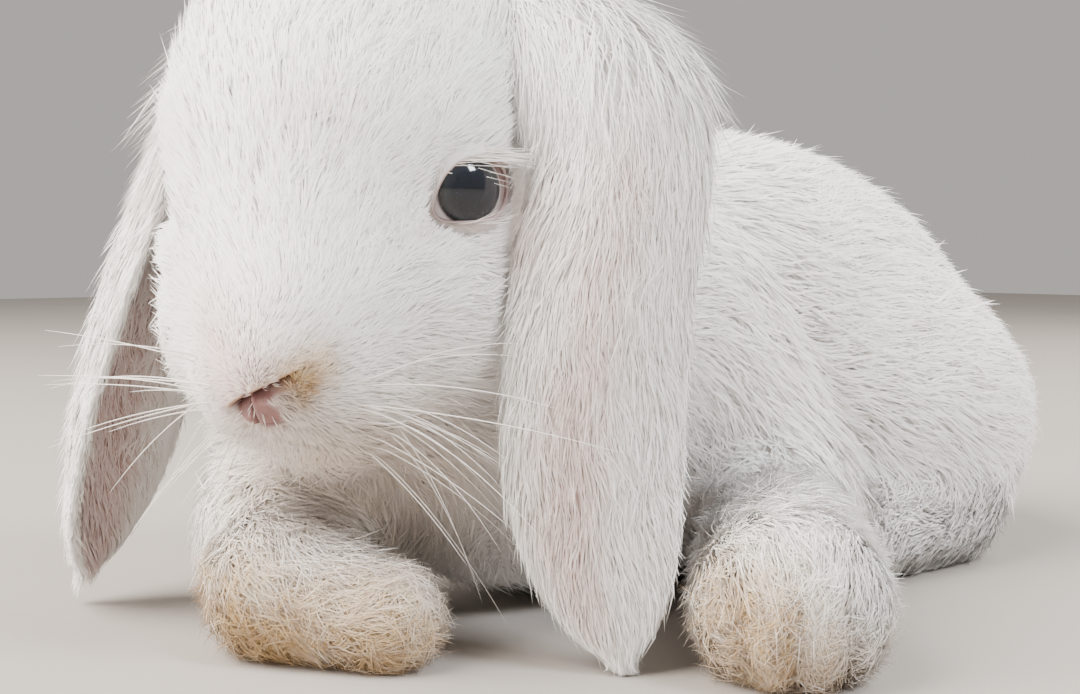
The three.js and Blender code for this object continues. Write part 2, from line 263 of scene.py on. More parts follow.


# Soft skin: under the coat it is lost in dense white underfur, and where it is bare it is mauve
# pink on nose and lid rims and moist in the nostrils, with fine pores and a damp sheen. Painted
# shade darkens the nostrils, the grooves and creases of nose and mouth, the lid rims where they
# meet the eye, and faintly the whole nose leather.
def skinMaterial():
    material, tree = startMaterial("rabbitSkin")
    place = placeOf(tree)
    shown = mixColour(tree, noise(tree, place, 260.0, 4.0), colour("#e8ded7"), colour("#f4eee9"))
    # the darkest colour in this list is painted shade: nostrils, grooves, creases, lid rims and, faintly, the
    # nose leather
    for name, code in (("pink", "#936c69"), ("tan", "#c3a074"), ("paintedShade", "#3c1c19")):
        shown = mixColour(tree, readValue(tree, name), shown, colour(code))
    pores = noise(tree, place, 2600.0, 2.0)
    bump = addNode(tree, "ShaderNodeBump", {"Strength": 0.35, "Distance": 0.0002}, {"Height": pores})
    finishMaterial(tree, {"Roughness": 0.5, "IOR": 1.4, "Subsurface Weight": 0.15,
                          "Subsurface Radius": (0.003, 0.0012, 0.0008), "Subsurface Scale": 0.4},
                   {"Base Color": shown, "Normal": bump.outputs["Normal"]})
    return material


# Living eye: one wet clear layer over a slate iris that is nearly as dark as its wide pupil, a
# darker ring at its edge, then white that is bluish at the front corner and rosy behind, where
# painted shade darkens it and takes most of the wet layer away.
def eyeMaterial():
    material, tree = startMaterial("wetDarkEye")
    polar, rosyShade = readValue(tree, "polar"), readValue(tree, "rosyShade")
    iris, pupil = eye["irisAngle"] / 180, eye["pupilAngle"] / 180
    rings = ramp(tree, polar, (0.0, "#14171d"), (pupil * 0.86, "#181c23"), (pupil * 1.08, "#262a30"),
                 (iris * 0.8, "#2c3035"), (iris * 0.95, "#17191d"), (iris, "#3a3533"),
                 (iris * 1.08, "#c9c3c4"))
    around = addNode(tree, "ShaderNodeCombineXYZ", links={"X": readValue(tree, "around"), "Y": polar})
    fibres = addNode(tree, "ShaderNodeTexNoise", {"Scale": 26.0, "Detail": 3.0, "Distortion": 0.2},
                     {"Vector": around.outputs["Vector"]})
    shown = mixColour(tree, 0.25, rings, fibres.outputs["Color"], "SOFT_LIGHT")
    shown = mixColour(tree, rosyShade, shown, colour("#66504b"))
    wet = mixColour(tree, rosyShade, colour("#ffffff"), colour("#202020"))  # painted shade: the shaded rear keeps little wet sheen
    finishMaterial(tree, {"Roughness": 0.12, "IOR": 1.38, "Specular IOR Level": 0.2,
                          "Coat Roughness": 0.02, "Coat IOR": 1.38},
                   {"Base Color": shown, "Coat Weight": wet})
    return material


# Smooth parts that change colour along their length: whiskers, brows and lashes are stiff clear
# white hair with a silky sheen. Claws are translucent horn, pink near the toe and straw at the tip.
def alongMaterial(name, first, last, roughness, ior):
    material, tree = startMaterial(name)
    shown = ramp(tree, readValue(tree, "along"), (0.0, first), (1.0, last))
    finishMaterial(tree, {"Roughness": roughness, "IOR": ior}, {"Base Color": shown})
    return material


# Floor: matt painted board, pale warm grey, with a very faint cloudiness from the roller.
def floorMaterial():
    material, tree = startMaterial("palePaintedBoard")
    shown = mixColour(tree, noise(tree, placeOf(tree), 9.0, 5.0), colour("#958e87"), colour("#9d968f"))
    finishMaterial(tree, {"Roughness": 0.7}, {"Base Color": shown})
    return material


coatFinish = coatMaterial()
skinFinish = skinMaterial()
eyeFinish = eyeMaterial()
whiskerFinish = alongMaterial("whiskerHair", "#e6dbd0", "#fdfbf8", 0.3, 1.55)
clawFinish = alongMaterial("paleClawHorn", "#c99b8a", "#e6d9c2", 0.35, 1.54)
print("materials made")


# The coat's outline is a field of distances that are negative inside it.

def softMin(a, b, softness):
    if softness == 0:
        return np.minimum(a, b)
    share = np.clip(0.5 + 0.5 * (b - a) / softness, 0, 1)
    return b + (a - b) * share - softness * share * (1 - share)


def softMax(a, b, softness):
    return -softMin(-a, -b, softness)


# distance to an ellipsoid: k (k - 1) / slope of k, where k is the length of p over the half sizes
def ellipsoidAt(p, centre, size):
    q = (p - np.array(centre, np.float32)) / np.array(size, np.float32)
    reach = np.sqrt((q * q).sum(-1))
    slope = np.sqrt(((q / np.array(size, np.float32)) ** 2).sum(-1))
    return reach * (reach - 1) / np.maximum(slope, 1e-6)


# distance to a round bar whose radius changes evenly between its ends
def limbAt(p, start, end, radii):
    start, end = np.array(start, np.float32), np.array(end, np.float32)
    along = end - start
    share = np.clip((p - start) @ along / (along @ along), 0, 1)
    away = np.sqrt(((p - start - share[:, None] * along) ** 2).sum(-1))
    return away - mixed(radii[0], radii[1], share)


headMasses = [  # centre, half sizes and softness of the join, in the head's axes
    ((0.5, 9, 8), (27, 29, 27.5), 0),
    ((0, 15, 17), (24, 18, 22), 8),
    ((13, -2, -11), (15.5, 20, 17), 9),
    ((-14.5, -3, -13), (15.5, 20, 18), 9),
    ((0, -12, -4), (18, 22, 18), 10),
    ((6.5, -25, -9.5), (8.5, 9.5, 8.5), 5),
    ((-6.5, -25, -9.5), (8.5, 9.5, 8.5), 5),
    ((0, -16, -19), (12, 14, 10), 7),
    ((0, 6, -18), (21, 20, 14), 8),
]
bridge = {"start": (0, -6, 8), "end": (0, -29.5, -3), "radii": (13, 6.5), "softness": 8}
trunkMasses = [
    ((0, -46, 34), (30, 32, 31), 0),
    ((0, -22, 38), (31, 38, 38), 12),
    ((0, 8, 39), (32, 38, 38.5), 12),
    ((0, 33, 32), (30, 36, 37), 14),
]
haunch = {"centre": (22, 33, 24), "size": (19, 34, 26), "softness": 8}
hindFoot = {"heel": (30, 36, 8), "toes": (32, -6, 7), "radii": (9, 8), "softness": 8}
tail = {"centre": (0, 68, 23), "size": (10, 10, 14), "softness": 5}
neck = {"start": (0, -48, 44), "end": (-3.5, -63.5, 56), "radii": (29, 25), "softness": 10}
forelegs = {
    "left": {"joints": [(20, -29, 42), (29.5, -11.5, 17), (51, -33, 11), (60.5, -43, 9.5)],
             "radii": [(17, 13), (12, 10.5), (13, 13.8)]},
    "right": {"joints": [(-8.5, -67.5, 40), (-6, -80, 15), (7, -88, 9), (22, -81, 6)],
              "radii": [(17, 13), (12, 10.5), (10.5, 8.5)]},
}


def massesAt(p, masses):
    distance = None
    for centre, size, softness in masses:
        mass = ellipsoidAt(p, centre, size)
        distance = mass if distance is None else softMin(distance, mass, softness)
    return distance


def headAt(p):
    q = intoHead(p).astype(np.float32)
    nose = limbAt(q, bridge["start"], bridge["end"], bridge["radii"])
    return softMin(massesAt(q, headMasses), nose, bridge["softness"])


def barsOf(leg):  # start, end and radii of upper arm, forearm and paw
    return [(leg["joints"][i], leg["joints"][i + 1], leg["radii"][i]) for i in range(3)]


def hindFootEnds(side):
    return [np.multiply(hindFoot[end], (side, 1, 1)) for end in ("heel", "toes")]


def forelegAt(p, leg):
    bars = [limbAt(p, *bar) for bar in barsOf(leg)]
    return softMin(softMin(bars[0], bars[1], 5), bars[2], 4)


def hindFootAt(p, side):
    q = p * np.array((side, 1, 1), np.float32)
    return limbAt(q, hindFoot["heel"], hindFoot["toes"], hindFoot["radii"])


def coatAt(p):
    distance = massesAt(p, trunkMasses)
    for side in (1, -1):
        centre = np.array(haunch["centre"]) * (side, 1, 1)
        leg = softMin(ellipsoidAt(p, centre, haunch["size"]), hindFootAt(p, side), hindFoot["softness"])
        distance = softMin(distance, leg, haunch["softness"])
    distance = softMin(distance, ellipsoidAt(p, tail["centre"], tail["size"]), tail["softness"])
    distance = softMin(distance, limbAt(p, neck["start"], neck["end"], neck["radii"]), neck["softness"])
    for leg in forelegs.values():
        distance = softMin(distance, forelegAt(p, leg), 9)
    return softMin(distance, headAt(p), 7)


# how far the skin lies under the coat's outline, in millimetres
coatDepth = {"nose": 0.7, "face": 1.6, "crown": 2.9, "trunk": 3.8, "leg": 2.2}
noseTip = np.array((-1.2, -36.5, -3.5))


def napeAt(q):  # above zero on the head's side of the nape
    return -0.629 * (q[:, 1] - 14) + 0.777 * (q[:, 2] + 18)


def headShareAt(p, low=-8, high=6):  # 1 on the head, 0 on the trunk and near the floor
    return smoothStep(napeAt(intoHead(p)), low, high) * smoothStep(p[:, 2], 16, 30)


def legsAt(p):
    bars = [forelegAt(p, leg) for leg in forelegs.values()] + [hindFootAt(p, side) for side in (1, -1)]
    return np.minimum.reduce(bars)


def pawsAt(p):
    ends = [limbAt(p, *barsOf(leg)[2]) for leg in forelegs.values()]
    return np.minimum.reduce(ends + [hindFootAt(p, side) for side in (1, -1)])


def depthAt(p):
    q = intoHead(p)
    toNose = np.linalg.norm(q - noseTip, axis=1)
    onFace = mixed(coatDepth["face"], coatDepth["crown"], smoothStep(q[:, 1], -12, 16))
    onHead = mixed(coatDepth["nose"], onFace, smoothStep(toNose, 4, 20))
    onLegs = mixed(coatDepth["leg"], coatDepth["trunk"], smoothStep(legsAt(p), 1, 9))
    return mixed(onLegs, onHead, headShareAt(p, -6, 8))


# The skin is the outline less the coat's depth, hollowed round the eyes and flat on the floor.
grid = {
    "low": (-50, -114, -8), "high": (84, 88, 112), "step": 1.2, "block": 12,
    "floor": 0.5, "floorSoftness": 1.5, "dishSoftness": 1.2, "grooveDeepest": -9,
}
gridLow = np.array(grid["low"], np.float32)
gridCount = np.ceil((np.array(grid["high"]) - gridLow) / grid["step"]).astype(int) + 1
eyeDish = {  # ball that hollows the skin: how far out its middle lies, and its shift to nose and crown
    1: {"radius": 9.2, "out": 11.4, "shift": (0.06, 0.1)},
    -1: {"radius": 7.4, "out": 10.9, "shift": (0, 0)},
}


def onGrid(field):
    axes = [gridLow[axis] + grid["step"] * np.arange(gridCount[axis], dtype=np.float32) for axis in range(3)]
    values = np.empty(gridCount, np.float32)
    for start in range(0, gridCount[0], grid["block"]):
        rows = slice(start, start + grid["block"])
        block = np.stack(np.meshgrid(axes[0][rows], axes[1], axes[2], indexing="ij"), -1)
        values[rows] = field(block.reshape(-1, 3)).reshape(block.shape[:3])
    return values


# values between grid points, mixed evenly from the eight corners round each point
def fromGrid(values, p):
    q = np.clip((p - gridLow) / grid["step"], 0, gridCount - 1.001)
    base = q.astype(np.int64)
    part = (q - base).astype(np.float32)
    flat = values.reshape(-1, *values.shape[3:])
    stride = np.array((gridCount[1] * gridCount[2], gridCount[2], 1))
    result = 0
    for corner in np.ndindex(2, 2, 2):
        share = np.prod(np.where(corner, part, 1 - part), axis=1)
        found = flat[(base + corner) @ stride]
        result = result + (found * share[:, None] if found.ndim > 1 else found * share)
    return result


def eyeFrame(side):  # outward axis, towards the nose and towards the crown, in the head's axes
    axis = unit(np.array(eye["axes"][side]))
    ahead = np.array((0.0, -1.0, 0.0))
    ahead = unit(ahead - (ahead @ axis) * axis)
    up = np.cross(ahead, axis) * side
    return axis, ahead, up


def tilted(side, tilt):
    axis, ahead, up = eyeFrame(side)
    middle = unit(axis + tilt[0] * ahead + tilt[1] * up)
    ahead = unit(ahead - (ahead @ middle) * middle)
    return middle, ahead, np.cross(ahead, middle) * side


toeSpec = {
    "grooves": (-0.5, 0.0, 0.5), "width": 1.1, "depth": 1.7, "spread": 17, "hindSpread": 15,
    "reach": 22, "top": (8, 20),  # how far past the toes and how high they go
}


# depth of the grooves between the toes: narrow planes along the foot, from the ball of the foot on
def toeGrooves(p):
    feet = [(*barsOf(leg)[2][:2], toeSpec["spread"]) for leg in forelegs.values()]
    feet += [(*hindFootEnds(side), toeSpec["hindSpread"]) for side in (1, -1)]
    low = 1 - smoothStep(p[:, 2], *toeSpec["top"])
    total = np.zeros(len(p), np.float32)
    for heel, toes, spread in feet:
        ahead = unit(np.subtract(toes, heel) * (1.0, 1.0, 0.0))
        sideways = np.cross(ahead, (0, 0, 1))
        offset = p - np.array(toes, float)
        across, reach = offset @ sideways, offset @ ahead
        close = smoothStep(reach, 2, 10) * (np.abs(across) < spread) * (reach < toeSpec["reach"]) * low
        for groove in toeSpec["grooves"]:
            total += close * np.exp(-(((across - groove * spread / 1.35) / toeSpec["width"]) ** 2))
    return total * toeSpec["depth"]


def skinAt(p):
    coat = fromGrid(coatGrid, p)
    skin = coat + depthAt(p) + toeGrooves(p) * (coat > grid["grooveDeepest"])
    for side, dish in eyeDish.items():
        axis = tilted(side, np.add(eye["openingTilt"], dish["shift"]))[0] @ headTurn.T
        away = np.linalg.norm(p - (eyeCentre(side) + dish["out"] * axis), axis=1)
        skin = softMax(skin, dish["radius"] - away, grid["dishSoftness"])
    return softMax(skin, grid["floor"] - p[:, 2], grid["floorSoftness"])


coatGrid = onGrid(coatAt)
slopeGrid = np.stack(np.gradient(coatGrid, grid["step"]), -1)
skinGrid = onGrid(skinAt)
skinSlope = np.stack(np.gradient(skinGrid, grid["step"]), -1).astype(np.float32)
print("coat outline and skin worked out on a grid of", int(np.prod(gridCount)), "points")


# Surface of a grid of values: every cell that it crosses gets one point at the mean of the
# crossings on the cell's edges, and every edge that changes sign gets a square between four cells.
def surfaceOf(values):
    def cellsBack(cells, axis, back):  # the cells that share an edge, stepped back on the other axes
        cell = list(cells)
        for other in (1, 2):
            cell[(axis + other) % 3] = cell[(axis + other) % 3] - back[other - 1]
        return tuple(cell)
    inside = values < 0
    sums = np.zeros((*(gridCount - 1), 3), np.float32)
    counts = np.zeros(gridCount - 1, np.float32)
    crossings = []
    for axis in range(3):
        here = tuple(slice(0, -1) if a == axis else slice(None) for a in range(3))
        there = tuple(slice(1, None) if a == axis else slice(None) for a in range(3))
        cells = np.nonzero(inside[here] != inside[there])
        near, far = values[here][cells], values[there][cells]
        place = gridLow + grid["step"] * np.stack(cells, -1).astype(np.float32)
        place[:, axis] += grid["step"] * near / (near - far)
        for back in ((0, 0), (1, 0), (0, 1), (1, 1)):
            np.add.at(sums, cellsBack(cells, axis, back), place)
            np.add.at(counts, cellsBack(cells, axis, back), 1)
        crossings.append((cells, near < 0, axis))
    used = counts > 0
    order = np.full(used.shape, -1, np.int64)
    order[used] = np.arange(used.sum())
    squares = []
    for cells, rising, axis in crossings:
        corners = [order[cellsBack(cells, axis, back)] for back in ((1, 1), (0, 1), (0, 0), (1, 0))]
        ring = np.stack(corners, -1)
        ring[~rising] = ring[~rising][:, ::-1]
        squares.append(ring)
    return sums[used] / counts[used][:, None], np.concatenate(squares)


def settle(p, values, slopes, level, rounds=2):  # moves points along the slope to a level
    for _ in range(rounds):
        slope = fromGrid(slopes, p)
        gap = fromGrid(values, p) - level
        p = p - slope * (gap / np.maximum((slope * slope).sum(-1), 0.2))[:, None]
    return p


# how far along a line the skin lies, by halving the stretch between a value inside and one outside
def skinCrossing(pointAt, inner, outer, rounds):
    for _ in range(rounds):
        middle = (inner + outer) / 2
        inside = fromGrid(skinGrid, pointAt(middle)) < 0
        inner = np.where(inside, middle, inner)
        outer = np.where(inside, outer, middle)
    return inner


def muzzleAt(x, z, back, rounds):  # the skin's y in the head's axes, searched between front and back
    def pointAt(y):
        return fromHead(np.stack([x, y, z], -1))
    return skinCrossing(pointAt, np.full(len(x), back), np.full(len(x), nose["front"]), rounds)


skinPoints, skinSquares = surfaceOf(skinGrid)
skinPoints = settle(skinPoints, skinGrid, skinSlope, 0)


def underNose(p):  # 1 where the nose's own surface covers the body's, which is sunk out of its way
    q = intoHead(p)
    over, under = np.maximum(q[:, 2] - 3.5, 0), np.maximum(-11 - q[:, 2], 0)
    aside = np.maximum(np.abs(q[:, 0] + 1) - 9, 0) + over + under
    return (1 - smoothStep(aside, 0, 2.2)) * (q[:, 1] < -22)


bodyPoints = skinPoints - unit(fromGrid(skinSlope, skinPoints)) * (3.5 * underNose(skinPoints))[:, None]
print("skin surface has", len(skinSquares), "squares")


# Lids are rings round the opening, from a rounded rim on the eyeball out to the skin.
lidSpec = {"rings": 22, "around": 120, "rim": 0.3, "roll": 1.2, "end": 72, "least": 20, "rimShare": 0.08}


# half angle of the lids' opening, in degrees, eased between the outline's points
def openingAngle(side, around):
    turns, angles = zip(*lidOutline)
    total = 0
    for offset in (-9, -4, 0, 4, 9):
        total = total + np.interp(np.degrees(around) + offset, turns, angles, period=360)
    return total / 5 * eye["widths"][side]


def eyeDirection(side, around, polar):  # polar and around in radians, about the opening's middle
    middle, ahead, up = tilted(side, eye["openingTilt"])
    ring = np.cos(around)[..., None] * ahead + np.sin(around)[..., None] * up
    return (np.cos(polar)[..., None] * middle + np.sin(polar)[..., None] * ring) @ headTurn.T


def lidReach(side, around):  # degrees from the rim to the lid's hidden border
    rim = openingAngle(side, around) + lidSpec["roll"]
    return np.maximum(lidSpec["end"] - rim, lidSpec["least"])


# a lid's point: share 0 touches the eyeball inside the rim, rimShare is the rounded edge, and from
# there the surface leans away from the ball until it meets the skin and dives under it at share 1
def lidPoint(side, around, share, lift=0):
    rimShare = lidSpec["rimShare"]
    curl = np.clip(share / rimShare, 0, 1)
    polar = openingAngle(side, around) + lidSpec["roll"] * curl
    polar = polar + lidReach(side, around) * np.maximum(share - rimShare, 0) / (1 - rimShare)
    direction = eyeDirection(side, around, np.radians(polar))

    def pointAt(reach):
        return eyeCentre(side) + direction * reach[:, None]
    low, high = (np.full(len(direction), eye["radius"] + reach) for reach in (-2.0, 9.0))
    onBall = eye["radius"] + 0.05 + lidSpec["rim"] * np.sin(curl * np.pi / 2)
    onSkin = np.maximum(skinCrossing(pointAt, low, high, 14), onBall - 0.4) + 0.2
    onSkin = onSkin - 0.9 * smoothStep(share, 0.75, 1.0)
    return pointAt(mixed(onBall, onSkin, smoothStep(share, rimShare, 0.85)) + lift)


def lidSurface(side):
    around, share = np.meshgrid(np.linspace(0, 2 * np.pi, lidSpec["around"], endpoint=False),
                                np.linspace(0, 1, lidSpec["rings"]) ** 1.5)
    points = lidPoint(side, around.ravel(), share.ravel())
    squares = gridFaces(lidSpec["rings"], lidSpec["around"], closed=True)
    if side > 0:
        squares = squares[:, ::-1]
    below = (0.5 - 0.5 * np.sin(around)).ravel()
    pink = mixed(0.6, 0.8, below) * (1 - smoothStep(share.ravel(), 0.04, 0.13))
    # painted shade: darkening where the rim meets the eyeball, strongest along the upper lid
    paintedShade = mixed(0.5, 0.12, below) * (1 - smoothStep(share.ravel(), 0.0, 0.1))
    return points, squares, pink, paintedShade


# The nose is a small field of relief laid on the muzzle.
nose = {
    "middle": (-2.1, -3.1),  # where the nostril slits meet, across and up in the head's axes
    "across": (-14, 12), "up": (-15, 8), "columns": 230, "rows": 200,
    "slits": ((20.5, 8.6, 0.35), (222, 5.6, 0.3)),  # direction, length and bow of each nostril's upper edge
    "split": (-91, 5.4, 0.15), "creases": ((8, 5.6, 0.3), (205, 5.0, 0.3)),
    "mouth": ((-38, 7.5, 0.8), (-150, 7, -0.8)),
    "leather": (4.0, 3.5), "hollowWidth": 3.1, "front": -44.0,
    # heights in millimetres
    "base": 0.12, "hollow": 1.7, "flap": 0.5, "splitDepth": 0.55, "fold": 0.15,
    "creaseDepth": 0.4, "mouthDepth": 0.8, "pad": 0.3, "sunkBorder": 1.4,
}


# distance from points of the plane to a slightly bowed bar, the signed height above its line and
# the share of the way along it
def strokeAt(x, z, start, angle, length, bow):
    c, s = math.cos(math.radians(angle)), math.sin(math.radians(angle))
    along = (x - start[0]) * c + (z - start[1]) * s
    share = np.clip(along / length, 0, 1)
    above = (z - start[1]) * c - (x - start[0]) * s - bow * 4 * share * (1 - share)
    return np.hypot(along - share * length, above), above, along / length


def strokeEnd(start, angle, length):
    turn = math.radians(angle)
    return (start[0] + length * math.cos(turn), start[1] + length * math.sin(turn))


def groove(away, width):
    return np.exp(-((away / width) ** 2))


# Each nostril is a sheer drop under a raised furry edge, from which a funnel slopes back out.
def noseParts(x, z):
    middle = nose["middle"]
    drop, flap, dark, open_ = 0, 0, 0, 0
    for angle, length, bow in nose["slits"]:
        way = 1 if angle < 90 else -1
        _, above, share = strokeAt(x, z, middle, angle, length, bow * way)
        above = above * way
        ends = smoothStep(share, -0.04, 0.14) * (1 - smoothStep(share, 0.62, 1.02))
        width = nose["hollowWidth"] * np.sqrt(np.clip(share * 1.6 + 0.1, 0.02, 1))
        width = width * (1.15 - 0.5 * np.clip(share, 0, 1))
        below = np.clip(-above / width, 0, 1)
        funnel = smoothStep(-above, -0.08, 0.16) * (1 - below) ** 1.2 * ends
        drop = np.maximum(drop, funnel)
        edge = smoothStep(share, -0.1, 0.2) * (1 - smoothStep(share, 0.8, 1.15))
        flap = np.maximum(flap, edge * groove(above - 0.5, 0.55) * (above > -0.1))
        dark = np.maximum(dark, smoothStep(-above, -0.1, 0.1) * groove(np.maximum(-above, 0), 0.55) * ends)
        open_ = np.maximum(open_, (1 - smoothStep(below, 0.55, 1.0)) * ends * (above < 0.3))
    splitAway, splitSide, _ = strokeAt(x, z, middle, *nose["split"])
    split = groove(splitAway, 0.32)
    fold = groove(np.hypot(np.maximum(splitAway - np.abs(splitSide), 0), splitSide - 0.75), 0.32)
    foot = strokeEnd(middle, *nose["split"][:2])
    crease = np.maximum.reduce([groove(strokeAt(x, z, foot, *c)[0], 0.34) for c in nose["creases"]])
    chin = (foot[0] - 0.3, foot[1] - 1.2)
    mouth = np.maximum.reduce([groove(strokeAt(x, z, chin, *m)[0], 0.5) for m in nose["mouth"]])
    wide, tall = nose["leather"]
    leather = smoothStep(-np.hypot((x - middle[0] - 0.9) / wide, (z - middle[1] + 2.9) / tall), -1.15, -0.55)
    return {"drop": drop, "flap": flap, "dark": dark, "open": open_, "split": split, "fold": fold,
            "crease": crease, "mouth": mouth, "leather": leather}


def noseHeight(part):  # raised or sunk, in millimetres
    raised = nose["flap"] * part["flap"] + nose["fold"] * part["fold"] + nose["pad"] * part["leather"]
    sunk = nose["hollow"] * part["drop"] + nose["splitDepth"] * part["split"]
    sunk = sunk + nose["creaseDepth"] * part["crease"] + nose["mouthDepth"] * part["mouth"]
    return nose["base"] + raised - sunk


def noseBare(p):  # 1 where the muzzle has no fur
    q = intoHead(p)
    part = noseParts(q[:, 0], q[:, 2])
    bare = np.maximum.reduce([part["open"] * 1.1, part["split"], part["leather"] * 1.2, part["flap"] * 0.45])
    bare = bare + 0.4 * driftAt(p, 0.6, 51)[:, 0]
    return np.where(q[:, 1] < -26, np.clip(bare, 0, 1), 0)


def noseSurface():
    x, z = np.meshgrid(np.linspace(*nose["across"], nose["columns"]), np.linspace(*nose["up"], nose["rows"]))
    x, z = x.ravel(), z.ravel()
    points = fromHead(np.stack([x, muzzleAt(x, z, -14.0, 18), z], -1))
    outward = unit(fromGrid(skinSlope, points))
    part = noseParts(x, z)
    fromMiddle = np.abs(x - np.mean(nose["across"]))
    border = np.maximum.reduce([smoothStep(fromMiddle, 10, 13), smoothStep(z, 5, 8), smoothStep(-z, 12, 15)])
    height = noseHeight(part) - nose["sunkBorder"] * border
    # painted highlight: the raised fold ridge beside the split is left a little paler than the leather
    pink = np.clip(part["leather"] + 0.85 * part["open"] + 0.4 * part["split"] - 0.1 * part["fold"], 0, 1)
    # painted shade: darkening in the nostrils and under their edges, along the split, the mouth and the
    # creases, and faintly over the whole leather
    paintedShade = np.clip(part["dark"] * 0.6 + 0.5 * part["drop"] + 0.45 * part["split"] + 0.5 * part["mouth"]
                     + 0.35 * part["crease"] + 0.1 * part["leather"], 0, 0.92)
    outer = smoothStep(np.abs(x - nose["middle"][0]), 3, 6.5)
    tan = np.clip(0.5 * part["flap"] + 0.8 * part["open"] * outer, 0, 0.85)
    squares = gridFaces(nose["rows"], nose["columns"])
    return points + outward * height[:, None], squares, pink, paintedShade, tan


ears = {
    "left": {
        "route": [(14.5, -60.5, 91), (25.5, -56.5, 89), (37, -55.5, 80), (43.5, -58.5, 69),
                  (44.5, -63, 50), (44, -64, 30), (44.5, -62.5, 16), (45.8, -59.5, 1.8)],
        "rootAcross": (-0.46, 0.79, 0.41), "hangAcross": (0.77, 0.64, 0), "curl": 0.36, "outward": 1,
    },
    "right": {
        "route": [(-6.5, -82, 92), (-15.5, -87, 74), (-25, -92.5, 54),
                  (-30.5, -96, 36), (-33.5, -97.5, 20), (-36, -98.5, 5.5)],
        "rootAcross": (-0.53, 0.84, -0.1), "hangAcross": (-0.49, 0.87, 0), "curl": 0.8, "outward": -1,
    },
}
earShape = {
    "widest": 12.6, "rootThickness": 5.0, "tipThickness": 2.0, "furDepth": 0.9,
    "samples": 200, "rings": 96, "sides": 48,
}


# smooth curve through the points (each span a cubic that keeps its neighbours' direction),
# resampled at even steps
def alongRoute(route, count):
    p = np.array(route, float)
    p = np.concatenate([[2 * p[0] - p[1]], p, [2 * p[-1] - p[-2]]])
    spans = len(route) - 1
    t = np.linspace(0, spans, 40 * spans + 1)
    i = np.minimum(t.astype(int), spans - 1)
    t = (t - i)[:, None]
    a, b, c, d = p[i], p[i + 1], p[i + 2], p[i + 3]
    square, cube = 2 * a - 5 * b + 4 * c - d, 3 * b - a - 3 * c + d
    dense = 0.5 * (2 * b + (c - a) * t + square * t ** 2 + cube * t ** 3)
    length = np.concatenate([[0], np.cumsum(np.linalg.norm(np.diff(dense, axis=0), axis=1))])
    even = np.linspace(0, length[-1], count)
    return np.stack([np.interp(even, length, dense[:, axis]) for axis in range(3)], -1), length[-1]


def earTable(ear):
    share = np.linspace(0, 1, earShape["samples"])
    centre, length = alongRoute(ear["route"], earShape["samples"])
    along = unit(np.gradient(centre, axis=0))
    turn = smoothStep(share, 0, 0.45)[:, None]
    across = mixed(np.array(ear["rootAcross"]), np.array(ear["hangAcross"]), turn)
    across = unit(across - (across * along).sum(1, keepdims=True) * along)
    outside = np.cross(along, across) * ear["outward"]
    root = 0.72 + 0.28 * smoothStep(share, 0, 0.25)
    tip = np.sqrt(np.maximum(1 - np.maximum((share - 0.72) / 0.28, 0) ** 2, 0.02))
    width = earShape["widest"] * root * tip
    thickness = mixed(earShape["tipThickness"], earShape["rootThickness"], (1 - share) ** 3)
    bend = ear["curl"] * (0.45 + 0.55 * np.sin(np.pi * share))
    return {"share": share, "centre": centre, "along": along, "across": across, "outside": outside,
            "width": width, "thickness": thickness, "bend": bend, "length": length}


# a point of an ear: along its route by share, round its curled oval section by angle, and
# raised off its skin; shares past the tip run straight on
def earPoint(table, share, angle, lift, inset):
    def at(key):
        values = table[key]
        if values.ndim == 1:
            return np.interp(share, table["share"], values)
        return np.stack([np.interp(share, table["share"], values[:, axis]) for axis in range(3)], -1)
    width, thickness = at("width") - inset, np.maximum(at("thickness") - inset, 0.45)
    bend, across, outside = at("bend"), at("across"), at("outside")
    c, s = np.cos(angle), np.sin(angle)
    x = width * c
    y = thickness * s - bend * (x * x / width - 0.3 * width)
    tangentX, tangentY = -width * s, thickness * c + 2 * bend * width * c * s
    size = np.maximum(np.hypot(tangentX, tangentY), 1e-6)
    normalX, normalY = tangentY / size, -tangentX / size
    normal = across * normalX[:, None] + outside * normalY[:, None]
    past = np.maximum(share - 1, 0) * table["length"]
    place = at("centre") + across * x[:, None] + outside * y[:, None] + normal * lift[:, None]
    return place + at("along") * past[:, None], normal


def earSkin(table):
    rings, sides = earShape["rings"], earShape["sides"]
    share, angle = np.meshgrid(np.linspace(0, 0.985, rings), np.linspace(0, 2 * np.pi, sides, endpoint=False),
                               indexing="ij")
    share, angle = share.ravel(), angle.ravel()
    points, _ = earPoint(table, share, angle, np.zeros(len(share)), earShape["furDepth"])
    squares = gridFaces(rings, sides, closed=True)
    root, tip = np.arange(sides)[::-1], np.arange(sides) + (rings - 1) * sides
    points = np.concatenate([points, [points[tip].mean(0), points[root].mean(0)]])
    fans = [np.stack([ring, np.roll(ring, -1), np.full(sides, len(points) - 2 + n)], -1)
            for n, ring in enumerate((tip, root))]
    return points, squares, np.concatenate(fans), share, angle


earTables = {name: earTable(ear) for name, ear in ears.items()}


# how much the warm skin shows through in the hollow of the outer face, and in the inner face, where part of
# it is painted shade that deepens towards the tip on the right ear
def earBlushAndShade(name, share, angle):
    x, s = np.cos(angle), np.sin(angle)
    inner = smoothStep(-s, 0.0, 0.5) * smoothStep(0.93 - np.abs(x), 0, 0.25)
    outer = smoothStep(s, 0.0, 0.4)
    if name == "left":
        band = groove(x + 0.1 - 0.25 * np.sin(share * 5), 0.38) * smoothStep(share, 0.16, 0.4)
        band = band * (1 - smoothStep(share, 0.9, 1.0)) * (0.62 + 0.38 * groove(share - 0.78, 0.16))
        return np.clip(band * outer + 0.7 * inner, 0, 1)
    # painted shade on the right ear's inner face, deeper towards the tip, over its real pink
    inner = inner * smoothStep(0.8 - np.abs(x), 0, 0.4) * mixed(0.35, 0.95, smoothStep(share, 0.3, 0.75))
    return np.clip(inner + 0.12 * outer, 0, 1)


